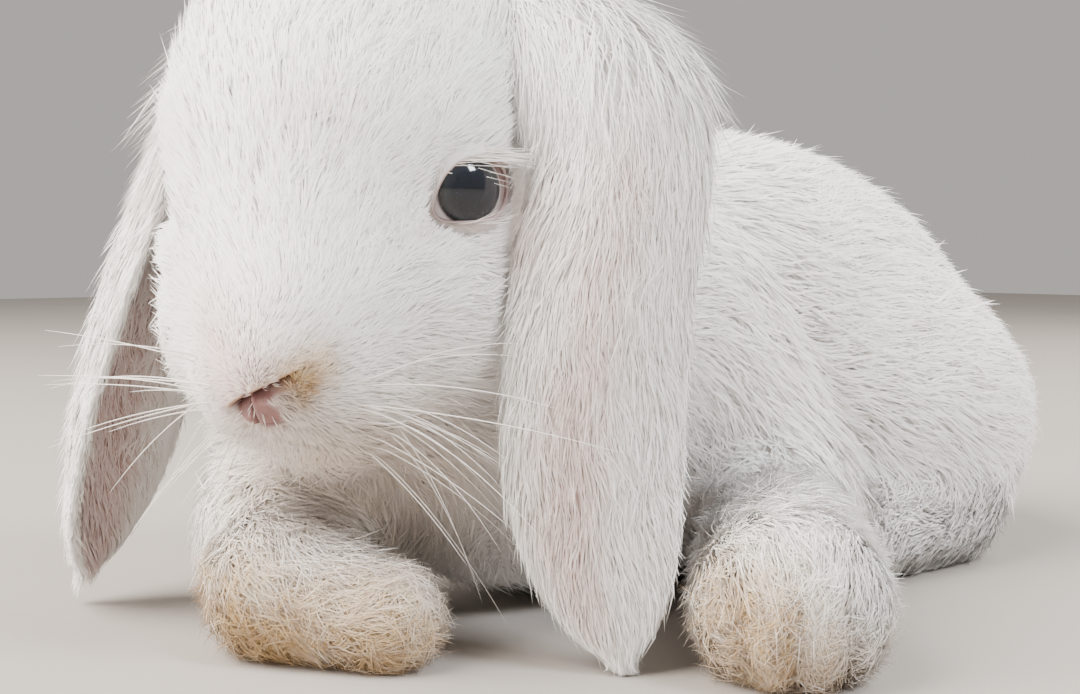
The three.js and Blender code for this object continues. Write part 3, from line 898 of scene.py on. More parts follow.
# body and head, lids, nose and ears as one piece
def makeSkin():
    # the body's skin takes the same stains and pink; under the chin and chest they are painted warm bounce
    # light and shade
    stainAndBounce = stainAndBounceAt(bodyPoints, np.random.default_rng(6))
    groups = [(bodyPoints, [skinSquares], {"tan": 0.85 * stainAndBounce, "pink": 0.6 * blushAndShadeAt(bodyPoints)})]
    for side in (1, -1):
        points, squares, pink, paintedShade = lidSurface(side)
        groups.append((points, [squares], {"pink": pink, "paintedShade": paintedShade}))
    points, squares, pink, paintedShade, tan = noseSurface()
    groups.append((points, [squares], {"pink": pink, "paintedShade": paintedShade, "tan": tan}))
    for name, table in earTables.items():
        points, squares, fans, share, angle = earSkin(table)
        # ear skin pink, on the inner faces partly painted shade
        pink = np.concatenate([0.35 + 0.5 * earBlushAndShade(name, share, angle), [0.4, 0.4]])
        groups.append((points, [squares, fans], {"pink": pink}))
    corners, sizes, start = [], [], 0
    for points, faceSets, _ in groups:
        for faces in faceSets:
            corners.append((faces + start).ravel())
            sizes.append(np.full(len(faces), faces.shape[1]))
        start += len(points)
    values = {key: np.concatenate([given.get(key, np.zeros(len(points))) for points, _, given in groups])
              for key in ("pink", "paintedShade", "tan")}
    points = np.concatenate([group[0] for group in groups])
    corners, sizes = np.concatenate(corners), np.concatenate(sizes)
    piece = makePiece("skin", points, corners, sizes, skinFinish, values=values)
    fleshNodes = [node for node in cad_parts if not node.startswith("eye_")]
    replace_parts(piece, *fleshNodes)


# a ball whose radius rises over the iris by a power of 1 - polar squared, capped at both poles
def makeEye(name, side):
    middle, ahead, up = tilted(side, eye["irisTilt"])
    rings, sides, pole = eye["rings"], eye["sides"], eye["poleAngle"]
    polar, around = np.meshgrid(np.linspace(pole, np.pi - pole, rings),
                                np.linspace(0, 2 * np.pi, sides, endpoint=False), indexing="ij")
    iris = math.radians(eye["irisAngle"])
    rise = eye["corneaRise"] * np.clip(1 - (polar / (iris * 1.15)) ** 2, 0, 1) ** 1.5
    ring = np.cos(around)[..., None] * ahead + np.sin(around)[..., None] * up
    direction = np.cos(polar)[..., None] * middle + np.sin(polar)[..., None] * ring
    points = eyeCentre(side) + ((direction * (eye["radius"] + rise)[..., None]) @ headTurn.T).reshape(-1, 3)
    squares = gridFaces(rings, sides, closed=True)
    front, back = np.arange(sides), np.arange((rings - 1) * sides, rings * sides)
    if side > 0:
        corners = np.concatenate([squares[:, ::-1].ravel(), front, back[::-1]])
    else:
        corners = np.concatenate([squares.ravel(), front[::-1], back])
    sizes = np.concatenate([np.full(len(squares), 4), [sides, sides]])
    # painted shade over a rosy white: the rear of the eye beyond the iris, darkened as if shaded by lid and
    # ear
    rosyShade = smoothStep(-np.cos(around), 0.1, 0.8) * smoothStep(polar, iris * 0.98, iris * 1.12)
    uv = 0.5 + 0.48 * (polar / np.pi)[..., None] * np.stack([np.cos(around), np.sin(around)], -1)
    values = {"polar": polar / np.pi, "around": around / (2 * np.pi), "rosyShade": rosyShade}
    piece = makePiece(name, points, corners, sizes, eyeFinish, values=values, uv=uv.reshape(-1, 2))
    return piece


for name, side in (("left", 1), ("right", -1)):
    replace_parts(makeEye(f"eyeball_{name}", side), f"eye_{name}")
print("eyes made")


def bodyFlow(p):
    side = np.sign(p[:, 0])
    flow = np.stack([0.12 * side, np.ones(len(p)), np.full(len(p), -0.32)], -1)
    lower = smoothStep(-p[:, 2], -40, -8)[:, None]
    flow = flow + lower * np.array((0, 0, -0.4))
    front = smoothStep(-p[:, 1], 44, 62)[:, None]
    return mixed(flow, np.array((0.0, 0.0, -1.0)), front)


def legFlow(p):  # each bar's direction, weighted towards the nearest, and the nearest's distance
    bars = [bar for leg in forelegs.values() for bar in barsOf(leg)]
    gaps = [limbAt(p, *bar) for bar in bars] + [hindFootAt(p, side) for side in (1, -1)]
    ways = [unit(np.subtract(end, start).astype(float)) for start, end, _ in bars] + [(0.0, -1.0, -0.1)] * 2
    nearest = np.minimum.reduce(gaps)
    flow = sum(np.exp((nearest - gap) / 2.5)[:, None] * np.array(way) for gap, way in zip(gaps, ways))
    return unit(flow), nearest


# degrees from the rim of an eye's opening, and the direction straight away from the opening
def eyeGap(p, side):
    middle, ahead, up = (v @ headTurn.T for v in tilted(side, eye["openingTilt"]))
    offset = p - eyeCentre(side)
    distance = np.linalg.norm(offset, axis=1)
    d = offset / distance[:, None]
    polar = np.arccos(np.clip(d @ middle, -1, 1))
    gap = np.degrees(polar) - openingAngle(side, np.arctan2(d @ up, d @ ahead))
    gap = gap + 200 * smoothStep(distance, eye["radius"] + 8, eye["radius"] + 14)
    ring = unit(d - np.cos(polar)[:, None] * middle)
    return gap, ring * np.cos(polar)[:, None] - middle * np.sin(polar)[:, None]


def flowAt(p):
    overHead = unit(intoHead(p) - noseTip) @ headTurn.T
    alongLeg, legGap = legFlow(p)
    onLeg = (1 - smoothStep(legGap, 0.5, 8))[:, None]
    toTail = smoothStep(p[:, 1], 62, 70)[:, None]
    flow = mixed(unit(bodyFlow(p)), alongLeg, onLeg)
    flow = mixed(flow, np.array((0.0, 0.6, 0.8)), toTail)
    flow = mixed(flow, overHead, headShareAt(p)[:, None])
    for side in (1, -1):  # hair parts round each eye instead of growing into it
        gap, away = eyeGap(p, side)
        towards = np.minimum((flow * away).sum(1), 0) * (1 - smoothStep(gap, 4, 34))
        flow = flow - away * (1.15 * towards)[:, None]
    return flow


# hairs as ribbons: a few rows of two points and one point at the tip
def ribbons(points, sides, widths):
    count, rows, _ = points.shape
    left = points[:, :-1] - sides[:, :-1] * widths[:, :-1, None]
    right = points[:, :-1] + sides[:, :-1] * widths[:, :-1, None]
    body = np.stack([left, right], 2).reshape(count, 2 * (rows - 1), 3)
    vertices = np.concatenate([body, points[:, -1:]], 1)
    per = 2 * rows - 1
    pattern = []
    for row in range(rows - 2):
        pattern += [2 * row, 2 * row + 1, 2 * row + 3, 2 * row + 2]
    pattern += [2 * rows - 4, 2 * rows - 3, 2 * rows - 2]
    corners = (np.arange(count)[:, None] * per + np.array(pattern)).ravel()
    sizes = np.tile([4] * (rows - 2) + [3], count)
    return vertices.reshape(-1, 3), corners, sizes


def perPoint(values):  # what each hair has at each row, given to both points of the row
    return np.concatenate([np.repeat(values[:, :-1], 2, axis=1), values[:, -1:]], 1)


hairSpec = {  # for every kind of fur; roll and edge turn a hair and its light, patch is its share of the map
    "rows": 3, "taper": (0.85, 1.0, 0.3), "widths": (0.6, 1.3), "roll": 0.4, "edge": 0.22, "patch": 0.0015,
}


def hairWidths(width, count, rng):
    return width * rng.uniform(*hairSpec["widths"], count)[:, None] * np.array(hairSpec["taper"])


def makeHair(name, points, normals, widths, tone, stainAndBounce, blushAndShade, rootUv, rng):
    count, rows, _ = points.shape
    direction = unit(np.gradient(points, axis=1))
    sides = unit(np.cross(direction, normals))
    roll = rng.normal(0, hairSpec["roll"], count)[:, None, None]
    sides = unit(sides * np.cos(roll) + normals * np.sin(roll))
    vertices, corners, sizes = ribbons(points, sides, widths)
    facing = perPoint(normals * 0.9 + direction * 0.1)
    facing[:, 0:-1:2] -= sides[:, :-1] * hairSpec["edge"]
    facing[:, 1:-1:2] += sides[:, :-1] * hairSpec["edge"]
    along = perPoint(np.linspace(0, 1, rows)[None].repeat(count, 0))
    acrossUv = np.concatenate([np.tile([-0.0014, 0.0014], rows - 1), [0]])[None].repeat(count, 0)
    uv = rootUv[:, None] + np.stack([acrossUv, (2 * along - 1) * hairSpec["patch"]], -1)
    values = {"along": along, "tone": np.repeat(tone, along.shape[1]),
              "stainAndBounce": np.repeat(stainAndBounce, along.shape[1]), "blushAndShade": blushAndShade[:, None] * (1 - 0.55 * along)}
    piece = makePiece(name, vertices, corners, sizes, coatFinish, normals=facing.reshape(-1, 3),
                      values=values, uv=np.clip(uv, 0.0005, 0.9995).reshape(-1, 2))
    print(name, "has", count, "hairs")


coatLength = {
    "nose": 1.3, "face": 5.8, "crown": 11.0, "body": 11.5, "paw": 6.6,
    "besideEye": {1: 0.3, -1: 0.75},  # share of the length that is left at each eye
}


def regionOf(p):
    q = intoHead(p)
    onHead = (napeAt(q) > 0) & (p[:, 2] > 22)
    _, legGap = legFlow(p)
    names = np.full(len(p), "foreTrunkFur", object)
    names[p[:, 1] > 14] = "hindTrunkFur"
    names[(p[:, 1] < -38)] = "neckFur"
    names[(legGap < 1.5) & (p[:, 2] < 26)] = "legFur"
    names[(names == "legFur") & (p[:, 1] < -10)] = "pawFur"
    names[(p[:, 1] > 63) & (np.abs(p[:, 0]) < 12)] = "tailFur"
    names[onHead & (q[:, 1] < 4) & (q[:, 0] >= 0)] = "faceFurLeft"
    names[onHead & (q[:, 1] < 4) & (q[:, 0] < 0)] = "faceFurRight"
    names[onHead & (q[:, 1] >= 4)] = "crownFur"
    return names


def lengthAt(p):
    q = intoHead(p)
    toNose = np.linalg.norm(q - noseTip, axis=1)
    onFace = mixed(coatLength["nose"], coatLength["face"], smoothStep(toNose, 3, 27))
    onHead = mixed(onFace, coatLength["crown"], smoothStep(q[:, 1], -8, 14))
    for side, least in coatLength["besideEye"].items():
        onHead = onHead * mixed(least, 1.0, smoothStep(eyeGap(p, side)[0], 0, 45))
    onBody = mixed(coatLength["body"], coatLength["paw"], 1 - smoothStep(pawsAt(p), 0, 7))
    return mixed(onBody, onHead, headShareAt(p))


stainAndBounceSpots = [  # centre, radius and strength of the straw-yellow stains; the two faint ones under the chin and on the chest are painted warm bounce light and shade, with some real staining
    ((22, -89, 4), 12.5, 1.0), ((9, -94, 4.5), 12, 1.0), ((33, -81, 4), 12, 1.0), ((-2, -92, 5), 10, 0.9),
    ((62, -58, 9), 11, 1.0), ((69, -53, 6), 9, 0.8), ((55, -58, 14), 8.5, 0.9), ((62, -50, 3), 12, 0.9),
    # the last two spots on this line, under the chin and on the chest, are painted warm bounce light and
    # shade
    ((28.5, -97.6, 40.3), 3.8, 0.8), ((10.4, -79.1, 23.6), 18, 0.34), ((20, -86, 28), 13, 0.34),
    ((30, 0, 2), 12, 0.3), ((-30, 0, 2), 12, 0.3),
]


def stainAndBounceAt(p, rng):
    stainAndBounce = np.zeros(len(p))
    for centre, radius, strength in stainAndBounceSpots:
        away = np.linalg.norm(p - centre, axis=1) / radius
        stainAndBounce = np.maximum(stainAndBounce, strength * np.exp(-(away ** 2.4)))
    clumps = 0.5 + 0.5 * np.clip(driftAt(p, 2.2, 31)[:, 0], -1, 1)
    return np.clip(stainAndBounce * (0.65 + 0.6 * clumps) + rng.normal(0, 0.04, len(p)) * (stainAndBounce > 0.1), 0, 1)


def headUv(p):  # longitude and latitude on the head
    q = intoHead(p)
    return np.stack([0.5 + np.arctan2(q[:, 0], -q[:, 1]) / (2 * np.pi),
                     0.5 + np.arcsin(np.clip(q[:, 2] / np.linalg.norm(q, axis=1), -1, 1)) / np.pi], -1)


def trunkUv(p):  # round the trunk's middle line and along it
    return np.stack([0.5 + np.arctan2(p[:, 0], p[:, 2] - 34) / (2 * np.pi), (p[:, 1] + 112) / 200], -1)


def legUv(p):  # a quarter of the map for each leg: round its bars and along them
    best, uv = np.full(len(p), 1e9), np.zeros((len(p), 2))
    bars = [(*bar, (n, i)) for n, leg in enumerate(forelegs.values()) for i, bar in enumerate(barsOf(leg))]
    bars += [(*hindFootEnds(side), hindFoot["radii"], (n, 1)) for n, side in ((2, 1), (3, -1))]
    for start, end, radii, (quarter, part) in bars:
        away = limbAt(p, start, end, radii)
        along = unit(np.subtract(end, start).astype(float))
        span = np.linalg.norm(np.subtract(end, start))
        sideways = unit(np.cross(along, (0.1, 0.2, 1.0)))
        above = np.cross(sideways, along)
        offset = p - np.array(start, float)
        turn = np.arctan2(offset @ sideways, offset @ above) / (2 * np.pi) + 0.5
        share = np.clip((offset @ along) / span, -0.4, 1.4)
        here = np.stack([(quarter + 0.04 + 0.92 * turn) / 4, (part + (share + 0.4) / 1.8) / 3], -1)
        uv = np.where((away < best)[:, None], here, uv)
        best = np.minimum(best, away)
    return uv


coatSpec = {  # hairs, and half width in millimetres; lengths and rise come from the place
    "faceFurLeft": {"count": 65000, "width": 0.11, "unwrap": headUv},
    "faceFurRight": {"count": 42000, "width": 0.125, "unwrap": headUv},
    "crownFur": {"count": 48000, "width": 0.14, "unwrap": headUv},
    "neckFur": {"count": 54000, "width": 0.155, "unwrap": trunkUv},
    "foreTrunkFur": {"count": 48000, "width": 0.185, "unwrap": trunkUv},
    "hindTrunkFur": {"count": 54000, "width": 0.2, "unwrap": trunkUv},
    "pawFur": {"count": 65000, "width": 0.085, "unwrap": legUv},
    "legFur": {"count": 24000, "width": 0.15, "unwrap": legUv},
    "tailFur": {"count": 7000, "width": 0.17, "unwrap": trunkUv},
}


def inEyeOpening(p, margin):  # true where a point lies in front of an eye's opening
    return (eyeGap(p, 1)[0] < margin) | (eyeGap(p, -1)[0] < margin)


def spreadRoots(rng):  # roots spread over the skin in proportion to area and density
    triangles = np.concatenate([skinSquares[:, [0, 1, 2]], skinSquares[:, [0, 2, 3]]])
    a, b, c = (skinPoints[triangles[:, i]].astype(float) for i in range(3))
    area = np.linalg.norm(np.cross(b - a, c - a), axis=1) / 2
    middle = (a + b + c) / 3
    regions = regionOf(middle)
    chosen = {}
    for name, spec in coatSpec.items():
        mine = np.nonzero(regions == name)[0]
        weight = area[mine] * (0.25 + 0.75 * smoothStep(middle[mine][:, 2], 0.6, 2.0))
        if name.startswith("face"):
            toNose = np.linalg.norm(intoHead(middle[mine]) - noseTip, axis=1)
            weight = weight * (1 + 2.2 * np.exp(-((toNose / 13) ** 2)))
        pick = rng.choice(mine, size=spec["count"], p=weight / weight.sum())
        u, v = rng.random(spec["count"]), rng.random(spec["count"])
        flip = u + v > 1
        u, v = np.where(flip, 1 - u, u), np.where(flip, 1 - v, v)
        chosen[name] = a[pick] + (b - a)[pick] * u[:, None] + (c - a)[pick] * v[:, None]
    return chosen


growth = {
    "lengths": (0.7, 1.25), "heights": (0.55, 1.2),  # random factors of a hair's length and rise
    "wild": (0.06, 0.14), "wildHeights": (0.4, 1.8),  # share of hairs that stand out, on body and legs
    "matted": (-0.3, 1.4), "loose": (0.1, 0.34),  # extra rise where stained, and stray clean or stained
    "brow": 1.1,  # extra rise over the right eye
    "locks": (6.0, 11, 0.2), "tufts": (1.7, 12, 0.24), "curls": (1.2, 13, 0.8),  # spacing, seed and strength
}


# A hair starts on the skin and takes even steps along the lie of the coat. After each step it is
# set at its own height over the skin, so that it follows every hollow. Locks share their drift.
def growHairs(roots, rng):
    count, steps = len(roots), hairSpec["rows"] - 1
    length = lengthAt(roots) * rng.uniform(*growth["lengths"], count)
    stainAndBounceAmount = stainAndBounceAt(roots, rng)
    near = intoHead(roots)
    onNose = np.linalg.norm(near - noseTip, axis=1) < 16
    lift = np.where(onNose, noseHeight(noseParts(near[:, 0], near[:, 2])), 0)
    onLegs = 1 - smoothStep(legsAt(roots), 1, 8)
    wild = (rng.random(count) < mixed(*growth["wild"], onLegs)) * smoothStep(length, 3.5, 6)
    browed = growth["brow"] * (1 - smoothStep(eyeGap(roots, -1)[0], 20, 70))
    tipHeight = (depthAt(roots) + browed) * rng.uniform(*growth["heights"], count)
    tipHeight = tipHeight + wild * rng.uniform(*growth["wildHeights"], count)
    tipHeight = tipHeight + stainAndBounceAmount * rng.uniform(*growth["matted"], count)
    loose = mixed(*growth["loose"], stainAndBounceAmount) * mixed(0.6, 1.0, smoothStep(length, 3, 7))
    locks, tufts, curls = (driftAt(roots, spacing, seed) * strength for spacing, seed, strength in
                           (growth["locks"], growth["tufts"], growth["curls"]))
    lean = locks + tufts * smoothStep(length, 1, 6)[:, None] + curls * stainAndBounceAmount[:, None]
    lean = lean + rng.normal(0, 1, (count, 3)) * loose[:, None]
    points = [roots + unit(fromGrid(skinSlope, roots)) * lift[:, None]]
    place = roots
    for row in range(steps):
        share = (row + 1) / steps
        slope = unit(fromGrid(skinSlope, place))
        flow = flowAt(place) + lean * (0.6 + 0.8 * share)
        flow = unit(flow - (flow * slope).sum(1, keepdims=True) * slope)
        place = place + flow * (length / steps)[:, None]
        value, slope = fromGrid(skinGrid, place), fromGrid(skinSlope, place)
        strength = np.maximum((slope * slope).sum(1), 0.3)
        height = lift + tipHeight * share ** 0.8
        place = place + slope * (np.clip(height - value, -4, 4) / strength)[:, None]
        place[:, 2] = np.maximum(place[:, 2], 0.15 + 0.5 * rng.random(count))
        points.append(place)
    return np.stack(points, 1), stainAndBounceAmount


def coatTone(roots, rng):  # how much darker than white each hair is
    return np.clip(rng.beta(1.2, 5.5, len(roots)) + 0.1 * driftAt(roots, 9, 21)[:, 0], 0, 1)


blushAndShadeSpots = [  # centre in the head's axes, radius and strength of the pink that shows through on the nose; the spot under the chin and the one next to the left eye are painted shade
    # the last spot on this line, under the chin, is painted warm shade
    ((-7.9, -32.2, 0.4), 6, 0.5), ((-2, -35, -2), 7, 0.6), ((2, -24, -22), 13, 0.35),
    # painted shade next to the left eye
    ((26.4, -5.6, 5), 5.5, 0.65),
]


def blushAndShadeAt(p):
    q = intoHead(p)
    blushAndShade = np.zeros(len(p))
    for centre, radius, strength in blushAndShadeSpots:
        blushAndShade = blushAndShade + strength * groove(np.linalg.norm(q - centre, axis=1), radius)
    for side in (1, -1):
        blushAndShade = blushAndShade + 0.12 * (1 - smoothStep(eyeGap(p, side)[0], 2, 10))
    return np.clip(blushAndShade, 0, 1)


def makeCoat():
    rng = np.random.default_rng(5)
    chosen = spreadRoots(rng)
    for name, spec in coatSpec.items():
        roots = settle(chosen[name], skinGrid, skinSlope, 0, 1)
        furry = np.clip(1 - noseBare(roots), 0, 1) ** 1.5
        roots = roots[~inEyeOpening(roots, 4) & (rng.random(len(roots)) < furry)]
        points, stainAndBounceAmount = growHairs(roots, rng)
        for _ in range(2):  # a hair that would hang over an eye is shortened
            over = inEyeOpening(points[:, -1], 1.5) | inEyeOpening(points[:, 1], 1.5)
            points[over] = mixed(points[over][:, :1], points[over], 0.5)
        clear = ~inEyeOpening(points[:, -1], 0.5)
        points, roots, stainAndBounceAmount = points[clear], roots[clear], stainAndBounceAmount[clear]
        normals = unit(fromGrid(slopeGrid, points.reshape(-1, 3))).reshape(points.shape)
        finer = mixed(0.65, 1.0, smoothStep(lengthAt(roots), 1.5, 5.5)) * mixed(1.0, 0.7, stainAndBounceAmount)
        widths = hairWidths(spec["width"], len(points), rng) * finer[:, None]
        makeHair(name, points, normals, widths, coatTone(roots, rng), stainAndBounceAmount, blushAndShadeAt(roots),
                 spec["unwrap"](roots), rng)


makeSkin()
print("skin made")
makeCoat()


# short hair on the lids, growing from the rims outward along the lie of the coat
lidFurSpec = {
    "count": 12000, "length": (1.2, 3.4), "rise": (0.35, 0.9), "width": 0.085,  # for each side
    "rimHairs": 0.3,  # share of the hairs that is packed along the rim
}


def makeLidFur():
    rng = np.random.default_rng(35)
    sets = []
    n, steps = lidFurSpec["count"], hairSpec["rows"] - 1
    for side in (1, -1):
        around = rng.uniform(0, 2 * np.pi, n)
        share = np.where(rng.random(n) < lidFurSpec["rimHairs"], rng.uniform(0.085, 0.25, n),
                         mixed(0.17, 0.95, rng.random(n) ** 0.8))
        root = lidPoint(side, around, share)
        _, away = eyeGap(root, side)
        normal = unit(root - eyeCentre(side))
        circle = np.cross(normal, away) * side
        flow = unit(flowAt(root) + rng.normal(0, 0.12, (n, 3)))
        outward = np.clip((flow * away).sum(1), 0.15, 1)
        sideways = np.sign((flow * circle).sum(1)) * np.sqrt(1 - outward ** 2)
        here, onward = (eyeDirection(side, turn, np.ones(n)) for turn in (around, around + 0.01))
        forward = np.sign((onward * circle).sum(1) - (here * circle).sum(1))
        length = mixed(*lidFurSpec["length"], share) * rng.uniform(0.75, 1.2, n)
        turn = length / (eye["radius"] * np.sin(np.radians(openingAngle(side, around) + 12)))
        climb = np.degrees(length / eye["radius"]) / lidReach(side, around)
        rise = rng.uniform(*lidFurSpec["rise"], n) * mixed(1.0, 2.4, np.maximum(-np.sin(around), 0) * share)
        points = [root]
        for t in np.arange(1, steps + 1) / steps:
            reach = share + t * climb * outward
            lift = rise * t ** 0.8 + 0.5 * np.maximum(reach - 0.8, 0)
            points.append(lidPoint(side, around + t * turn * sideways * forward, reach, lift))
        sets.append((np.stack(points, 1), np.repeat(normal[:, None], steps + 1, 1), root, share))
    points, normals, roots, share = (np.concatenate(group) for group in zip(*sets))
    widths = hairWidths(lidFurSpec["width"], len(points), rng)
    blushAndShade = 0.35 * (1 - smoothStep(share, 0.1, 0.4))
    makeHair("lidFur", points, normals, widths, coatTone(roots, rng), np.zeros(len(roots)), blushAndShade,
             headUv(roots), rng)


makeLidFur()


earFurSpec = {
    "left": {"count": 45000, "rootLength": 2.6}, "right": {"count": 34000, "rootLength": 1.7},
    "width": 0.1, "length": (4.0, 8.5), "rise": (0.3, 1.0),
    "outerShare": 0.6, "rimShare": 0.15, "fluff": (0.16, (1.0, 5.0)), "stray": (0.05, (0.4, 1.6)),
}


# Hair runs from root to tip and fans out over the rims; towards the root it grows long and loose.
def makeEarFur(name, table, seed):
    rng = np.random.default_rng(seed)
    count, steps, depth = earFurSpec[name]["count"], hairSpec["rows"] - 1, earShape["furDepth"]
    widest = table["width"] / table["width"].max()
    share = rng.choice(table["share"], size=count, p=widest / widest.sum())
    share = np.clip(share + rng.uniform(-0.5, 0.5, count) / earShape["samples"], 0.01, 0.985)
    angle = np.arccos(rng.uniform(-1, 1, count))
    angle = angle * np.where(rng.random(count) < earFurSpec["outerShare"], 1, -1)
    rim = rng.random(count) < earFurSpec["rimShare"]
    angle = np.where(rim, rng.choice([0, np.pi], count) + rng.normal(0, 0.35, count), angle)
    inner = smoothStep(-np.sin(angle), 0.2, 0.6)
    nearRoot = (1 - smoothStep(share, 0.08, 0.36)) * (1 - inner)
    length = rng.uniform(*earFurSpec["length"], count) * mixed(1.0, 0.55, inner) * mixed(1.2, 0.85, share)
    length = length * mixed(1.0, earFurSpec[name]["rootLength"], nearRoot)
    length = length * mixed(1.0, 0.8, smoothStep(share, 0.85, 1))
    rise = rng.uniform(*earFurSpec["rise"], count) * mixed(1.0, 2.6, nearRoot)
    chance, heights = earFurSpec["fluff"]
    fluff = (rng.random(count) < chance) * smoothStep(nearRoot, 0.1, 0.6) * (np.cos(angle) > -0.3)
    rise = rise + fluff * rng.uniform(*heights, count)
    chance, heights = earFurSpec["stray"]
    rise = rise + (rng.random(count) < chance) * rng.uniform(*heights, count) * (1 - inner)
    root, _ = earPoint(table, share, angle, np.zeros(count), depth)
    loose = mixed(1.0, 1.8, nearRoot)
    lean = (0.1 * driftAt(root, 4.0, 41)[:, 0] + 0.14 * driftAt(root, 1.5, 42)[:, 0]) * loose
    lean = lean + rng.normal(0, 0.05, count) * loose
    fan = -mixed(0.12, 0.5, smoothStep(share, 0.75, 0.95)) * np.sign(np.sin(angle)) * np.cos(angle)
    points, normals = [], []
    for t in np.arange(steps + 1) / steps:
        here, normal = earPoint(table, share + t * length / table["length"], angle + t * (lean + fan),
                                rise * t ** 0.8, depth)
        here[:, 2] = np.maximum(here[:, 2], 0.2)
        points.append(here)
        normals.append(normal)
    points, normals = np.stack(points, 1), np.stack(normals, 1)
    shown = fromGrid(coatGrid, points[:, 0]) > -3.5
    points, normals, share, angle = points[shown], normals[shown], share[shown], angle[shown]
    kept = len(points)
    widths = hairWidths(earFurSpec["width"], kept, rng)
    tone = 0.6 * rng.beta(1.2, 5.0, kept)
    # pink from the skin, on the inner faces partly painted shade
    blushAndShade = np.clip(earBlushAndShade(name, share, angle) * rng.uniform(0.5, 1.3, kept) + blushAndShadeAt(points[:, 0]), 0, 1)
    uv = np.stack([(angle / (2 * np.pi)) % 1, share], -1)
    makeHair(f"earFur_{name}", points, normals, widths, tone, np.zeros(kept), blushAndShade, uv, rng)


for seed, (name, table) in enumerate(earTables.items()):
    makeEarFur(name, table, 60 + seed)


# whiskers, brows and lashes: thin round hairs that taper to nothing
def makeTubes(name, paths, radii, material, sides=5):
    count, rows, _ = paths.shape
    along = unit(np.gradient(paths, axis=1))
    across = unit(np.cross(along, np.array((0.13, 0.21, 1.0))))
    above = np.cross(along, across)
    turn = np.linspace(0, 2 * np.pi, sides, endpoint=False)
    ring = (across[:, :, None] * np.cos(turn)[:, None] + above[:, :, None] * np.sin(turn)[:, None])
    points = paths[:, :, None] + ring * radii[:, :, None, None]
    per = rows * sides
    squares = gridFaces(rows, sides, closed=True)[:, ::-1]
    caps = np.concatenate([np.arange(sides), per - 1 - np.arange(sides)])
    corners = (np.arange(count)[:, None] * per + np.concatenate([squares.ravel(), caps])).ravel()
    sizes = np.tile([4] * len(squares) + [sides] * 2, count)
    share = np.linspace(0, 1, rows)[None, :, None].repeat(count, 0).repeat(sides, 2)
    uv = np.stack([share * 0.9 + 0.05, np.linspace(0, 0.9, count)[:, None, None] + 0.05 + 0 * share], -1)
    return makePiece(name, points.reshape(-1, 3), corners, sizes, material,
                     values={"along": share}, uv=uv.reshape(-1, 2))


whiskerSpec = {
    "radius": 0.1, "rows": 26, "perSide": 20, "clear": 0.6,  # clear of the coat by this much
    "left": {"out": (0.55, 1), "rise": (0.05, -1.35), "back": (0.1, 0.65), "length": (20, 36), "droop": 12},
    "right": {"out": (0.75, 1), "rise": (0.35, -1.2), "back": (-0.15, 0.45), "length": (20, 33), "droop": 5},
}


# root + direction * length * t, sagging with the square of t
def makeWhiskers():
    rng = np.random.default_rng(77)
    sets = []
    n = whiskerSpec["perSide"]
    order = np.linspace(0, 1, n)
    for name, side in (("left", 1), ("right", -1)):
        spec = whiskerSpec[name]
        x = side * rng.uniform(6, 12.5, n)
        z = mixed(-3.5, -15, order) + rng.normal(0, 0.8, n)
        root = fromHead(np.stack([x, muzzleAt(x, z, -10.0, 16) + 0.4, z], -1))
        direction = np.stack([side * rng.uniform(*spec["out"], n), rng.uniform(*spec["back"], n),
                              mixed(*spec["rise"], order) + rng.normal(0, 0.12, n)], -1)
        sets.append((root, unit(direction) @ headTurn.T, rng.uniform(*spec["length"], n),
                     spec["droop"] * rng.uniform(0.3, 1.2, n)))
    roots, directions, lengths, droops = (np.concatenate(group) for group in zip(*sets))
    t = np.linspace(0, 1, whiskerSpec["rows"])[None, :, None]
    paths = roots[:, None] + directions[:, None] * lengths[:, None, None] * t
    paths = paths - np.array((0, 0, 1.0)) * droops[:, None, None] * t ** 2
    level = fromGrid(coatGrid, paths.reshape(-1, 3)).reshape(paths.shape[:2])
    push = np.clip(whiskerSpec["clear"] * np.minimum(t[..., 0] * 6, 1) - level, 0, 6)
    outward = unit(fromGrid(slopeGrid, paths.reshape(-1, 3))).reshape(paths.shape)
    push = np.where(level < whiskerSpec["clear"], push, 0)[..., None]
    paths = paths + outward * push * np.minimum(t * 4, 1)
    paths[..., 2] = np.maximum(paths[..., 2], 0.5)
    radii = whiskerSpec["radius"] * (1 - t[..., 0]) ** 0.7 * np.ones((len(roots), 1)) + 0.012
    piece = makeTubes("whiskers", paths, radii, whiskerFinish)


lashSpec = {
    "kinds": [  # count, turn round the opening, share of the lid, length, and lean to ear, crown and outward
        (44, (66, 165), (0.1, 0.36), (6, 11), (1, -1, 0.58)),
        (10, (8, 60), (0.1, 0.2), (2, 4), (0.5, 0.3, 0.9)),
        (11, (262, 335), (0.08, 0.14), (2.5, 5.5), (0.7, 0.15, 0.6)),
    ],
    "radius": 0.075, "rows": 12, "bend": 0.14,
}


